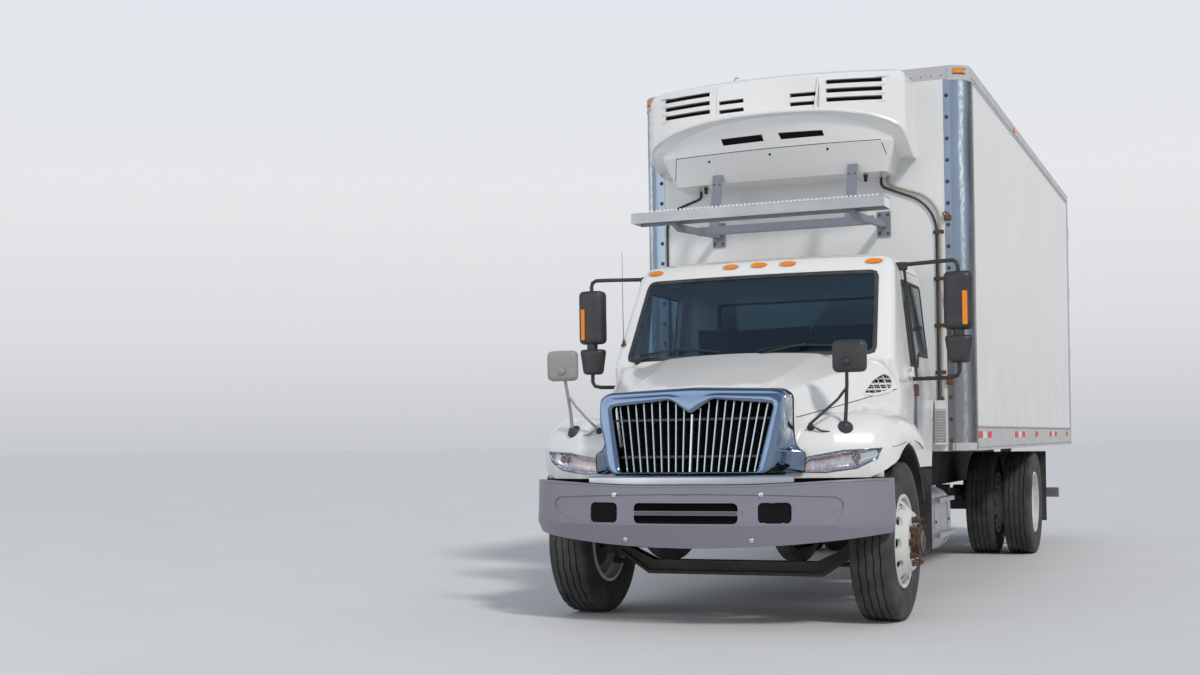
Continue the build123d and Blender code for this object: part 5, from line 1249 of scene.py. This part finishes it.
form = Form()
for x in (-0.656, 0.656):
    for s in (1.700, 1.800):
        form.hexagon(P(x, s, 2.8300), UP, 0.011, 0.008)
    for z in (2.715, 2.855):
        for dx in (-0.032, 0.032):
            form.hexagon(P(x + dx, 2.768, z), FORE, 0.010, 0.007)
for x in (-0.550, 0.500):
    for dx in (-0.022, 0.022):
        form.hexagon(P(x + dx, 2.418857, 3.125), (0, -1, 0.26), 0.008, 0.006)
form.done("walkway_bolts", "rust", "chassis", "aluminium")

CLIP_PAIR, CLIP_ONE = (1.064, 0.040, 0.026, 0.023), (-1.090, 0.024, 0.012, 0.009)
form = Form()
for z in (2.700, 2.350, 2.000, 1.650):
    # Middle and half widths of foot, shoulder and top; the single hose has none at the first level
    for x, foot, shoulder, top in (CLIP_PAIR,) if z == 2.700 else (CLIP_PAIR, CLIP_ONE):
        half = [(-foot, 0.0), (-foot, 0.004), (-shoulder, 0.006), (-top, 0.0215)]
        form.prism([P(x + dx, 2.7795 - d, z - 0.013) for dx, d in half + [(-dx, d) for dx, d in half[::-1]]],
                   (0, 0, 0.026))
    for x in (1.031, 1.097):
        form.hexagon(P(x, 2.7755, z), FORE, 0.0065, 0.005)
form.done("line_clips", "rust", "chassis", "cast_iron")

form = Form()
form.block(1.022, 1.108, 2.7300, 2.7350, 1.372, 1.428, 0.002)
form.tone = 2
for z in steps(1.128, 1.348, 11):
    form.block(1.026, 1.104, 2.7312, 2.7350, z, z + 0.012, 0.0012)
form.tone = 1
for x in (1.036, 1.094):
    for z in (1.137, 1.413):
        form.dome(P(x, 2.7325, z), FORE, 0.005, 0.003, 8)
for x in (1.050, 1.078):
    form.turned([(0.0, 0.013), (0.014, 0.013), (0.018, 0.0105), (0.026, 0.0105)], P(x, 2.7703, 1.4395), UP, 12)
form.done("junction_cover", "paint_white black_plastic aluminium", "chassis", "paint_white")

# ---------------------------------------------------------------- seats
PAD_X, PAD_Y = 34, 26                    # cells of a pad


def cushion(form, mid, size, crown, lean, channels):
    """Crowned closed pad: sides pulled in between the corners, sewn channels along its length."""
    wide, deep, thick = size
    tilt = Matrix.Rotation(lean, 3, "X")
    sheets = []
    for top in (1, -1):
        sheet = []
        for u in steps(0, 1, PAD_X):
            row = []
            for v in steps(0, 1, PAD_Y):
                x = (u - 0.5) * wide * (1 - 0.035 * (1 - (2 * v - 1) ** 2))
                y = (v - 0.5) * deep * (1 - 0.035 * (1 - (2 * u - 1) ** 2))
                fall = 1.0
                for e in (min(u, 1 - u) * wide, min(v, 1 - v) * deep):
                    fall *= sqrt(max(0.0, 1 - max(0.0, 1 - e / 0.055) ** 2))
                z = thick / 2 * (0.30 + 0.70 * fall)
                if top > 0:
                    z += crown * sin(pi * u) * sin(pi * v) * fall
                    if 0.14 < u < 0.86 and 0.10 < v < 0.90:
                        groove = abs(((u - 0.14) / 0.72 * channels) % 1.0 - 0.5) * 2
                        z -= 0.006 * max(0.0, (groove - 0.80) / 0.20) ** 1.5
                row.append(form.bm.verts.new(mid + tilt @ Vector((x, y, z * top))))
            sheet.append(row)
        sheets.append(sheet)
    upper, lower = sheets
    for i in range(PAD_X):
        for j in range(PAD_Y):
            form.face((upper[i][j], upper[i + 1][j], upper[i + 1][j + 1], upper[i][j + 1]))
            form.face((lower[i][j], lower[i][j + 1], lower[i + 1][j + 1], lower[i + 1][j]))
    rim = ([(i, 0) for i in range(PAD_X)] + [(PAD_X, j) for j in range(PAD_Y)]
           + [(i, PAD_Y) for i in range(PAD_X, 0, -1)] + [(0, j) for j in range(PAD_Y, 0, -1)])
    for (i, j), (k, m) in zip(rim, rim[1:] + rim[:1]):
        form.face((upper[i][j], lower[i][j], lower[k][m], upper[k][m]))


LEAN = atan2(0.090, 0.620)
for name, x, wide, channels in (("driver", 0.400, 0.520, 5), ("bench", -0.330, 0.900, 9)):
    form = Form()
    cushion(form, P(x, 2.335, 1.372), (wide - 0.010, 0.440, 0.112), 0.006, 0.02, channels)
    cushion(form, P(x, 2.541, 1.725), (wide - 0.012, 0.600, 0.100), 0.004, radians(90) - LEAN, channels)
    made = form.done(f"seat_pads_{name}", "seat_cloth", "chassis", "seat_cloth",
                     ("seats",) if name == "driver" else (), 60)
    form = Form()
    form.block(x - wide / 2 + 0.060, x + wide / 2 - 0.060, 2.150, 2.500, 1.0405, 1.300, 0.012)
    form.block(x - wide / 2 + 0.010, x + wide / 2 - 0.010, 2.118, 2.555, 1.292, 1.322, 0.008)
    form.done(f"seat_base_{name}", "dash_grey", "chassis", "dash_grey")

# ---------------------------------------------------------------- dashboard
dash_tree = surface("dashboard")
form = Form()
form.loft([[P(0.400 + 0.185 * cos(a), 1.690 + s, 1.700 + 0.045 * sin(a) + z) for s, z in (
    (0, 0), (0.105, 0.006), (0.105, -0.002), (0, -0.010))] for a in steps(0, pi, 8)])
form.tone = 1
for x, r in ((0.310, 0.052), (0.490, 0.052), (0.400, 0.030)):
    form.turned([(0.0, r), (0.006, r), (0.009, r - 0.004), (0.004, r - 0.006), (0.004, 0.0)], P(x, 1.795, 1.690),
                (0, 1, 0.15), 24)
form.tone = 0
for x in (-0.70, -0.42, 0.02, 0.76):
    form.turned([(-0.002, 0.044), (0.008, 0.044), (0.012, 0.038), (0.006, 0.034), (0.006, 0.0)],
                *drop(dash_tree, P(x, 3.0, 1.665), FORE), 20)
form.done("dash_details", "black_plastic glass_dial", "chassis", "dash_grey")

# ---------------------------------------------------------------- chassis details
form = Form()
for side, _ in SIDES:
    for s in (0.62, 0.90, 1.35, 1.70, 3.10, 3.70, 4.10, 4.90, 5.30, 6.20, 7.74, 8.20, 9.00, 9.40):
        for z in (0.775, 0.900):
            form.hexagon(P(side * 0.432, s, z), (side, 0, 0), 0.012, 0.009)
form.done("frame_bolts", "cast_iron", "chassis", "frame_black")

form = Form()
form.turned([(-0.004, 0.052), (0.022, 0.052), (0.026, 0.060), (0.044, 0.060), (0.048, 0.054), (0.048, 0.0)],
            P(1.000, 2.230, 0.752), (0.45, 0, 1), 28)
form.tone = 1
for s in (2.250, 2.760):
    form.hexagon(P(1.106, s, 0.56), (1, 0, 0), 0.012, 0.008)
form.done("tank_cap", "aluminium rust", "chassis", "aluminium")

# ---------------------------------------------------------------- stage
REACH = 250
ground = Shade("floor", 0.75)
floor_mesh = bpy.data.meshes.new("floor")
floor_mesh.from_pydata([(-REACH, -REACH, 0), (REACH, -REACH, 0), (REACH, REACH, 0), (-REACH, REACH, 0)], [],
                       [(0, 1, 2, 3)])
floor_mesh.materials.append(ground.finish(
    ground.mix(ground.span(ground.noise(0.8, 4.0), 0.3, 0.7), (0.66, 0.665, 0.67), (0.69, 0.695, 0.70))))
floor = bpy.data.objects.new("floor", floor_mesh)
scene.collection.objects.link(floor)
scene.view_settings.view_transform = "Standard"
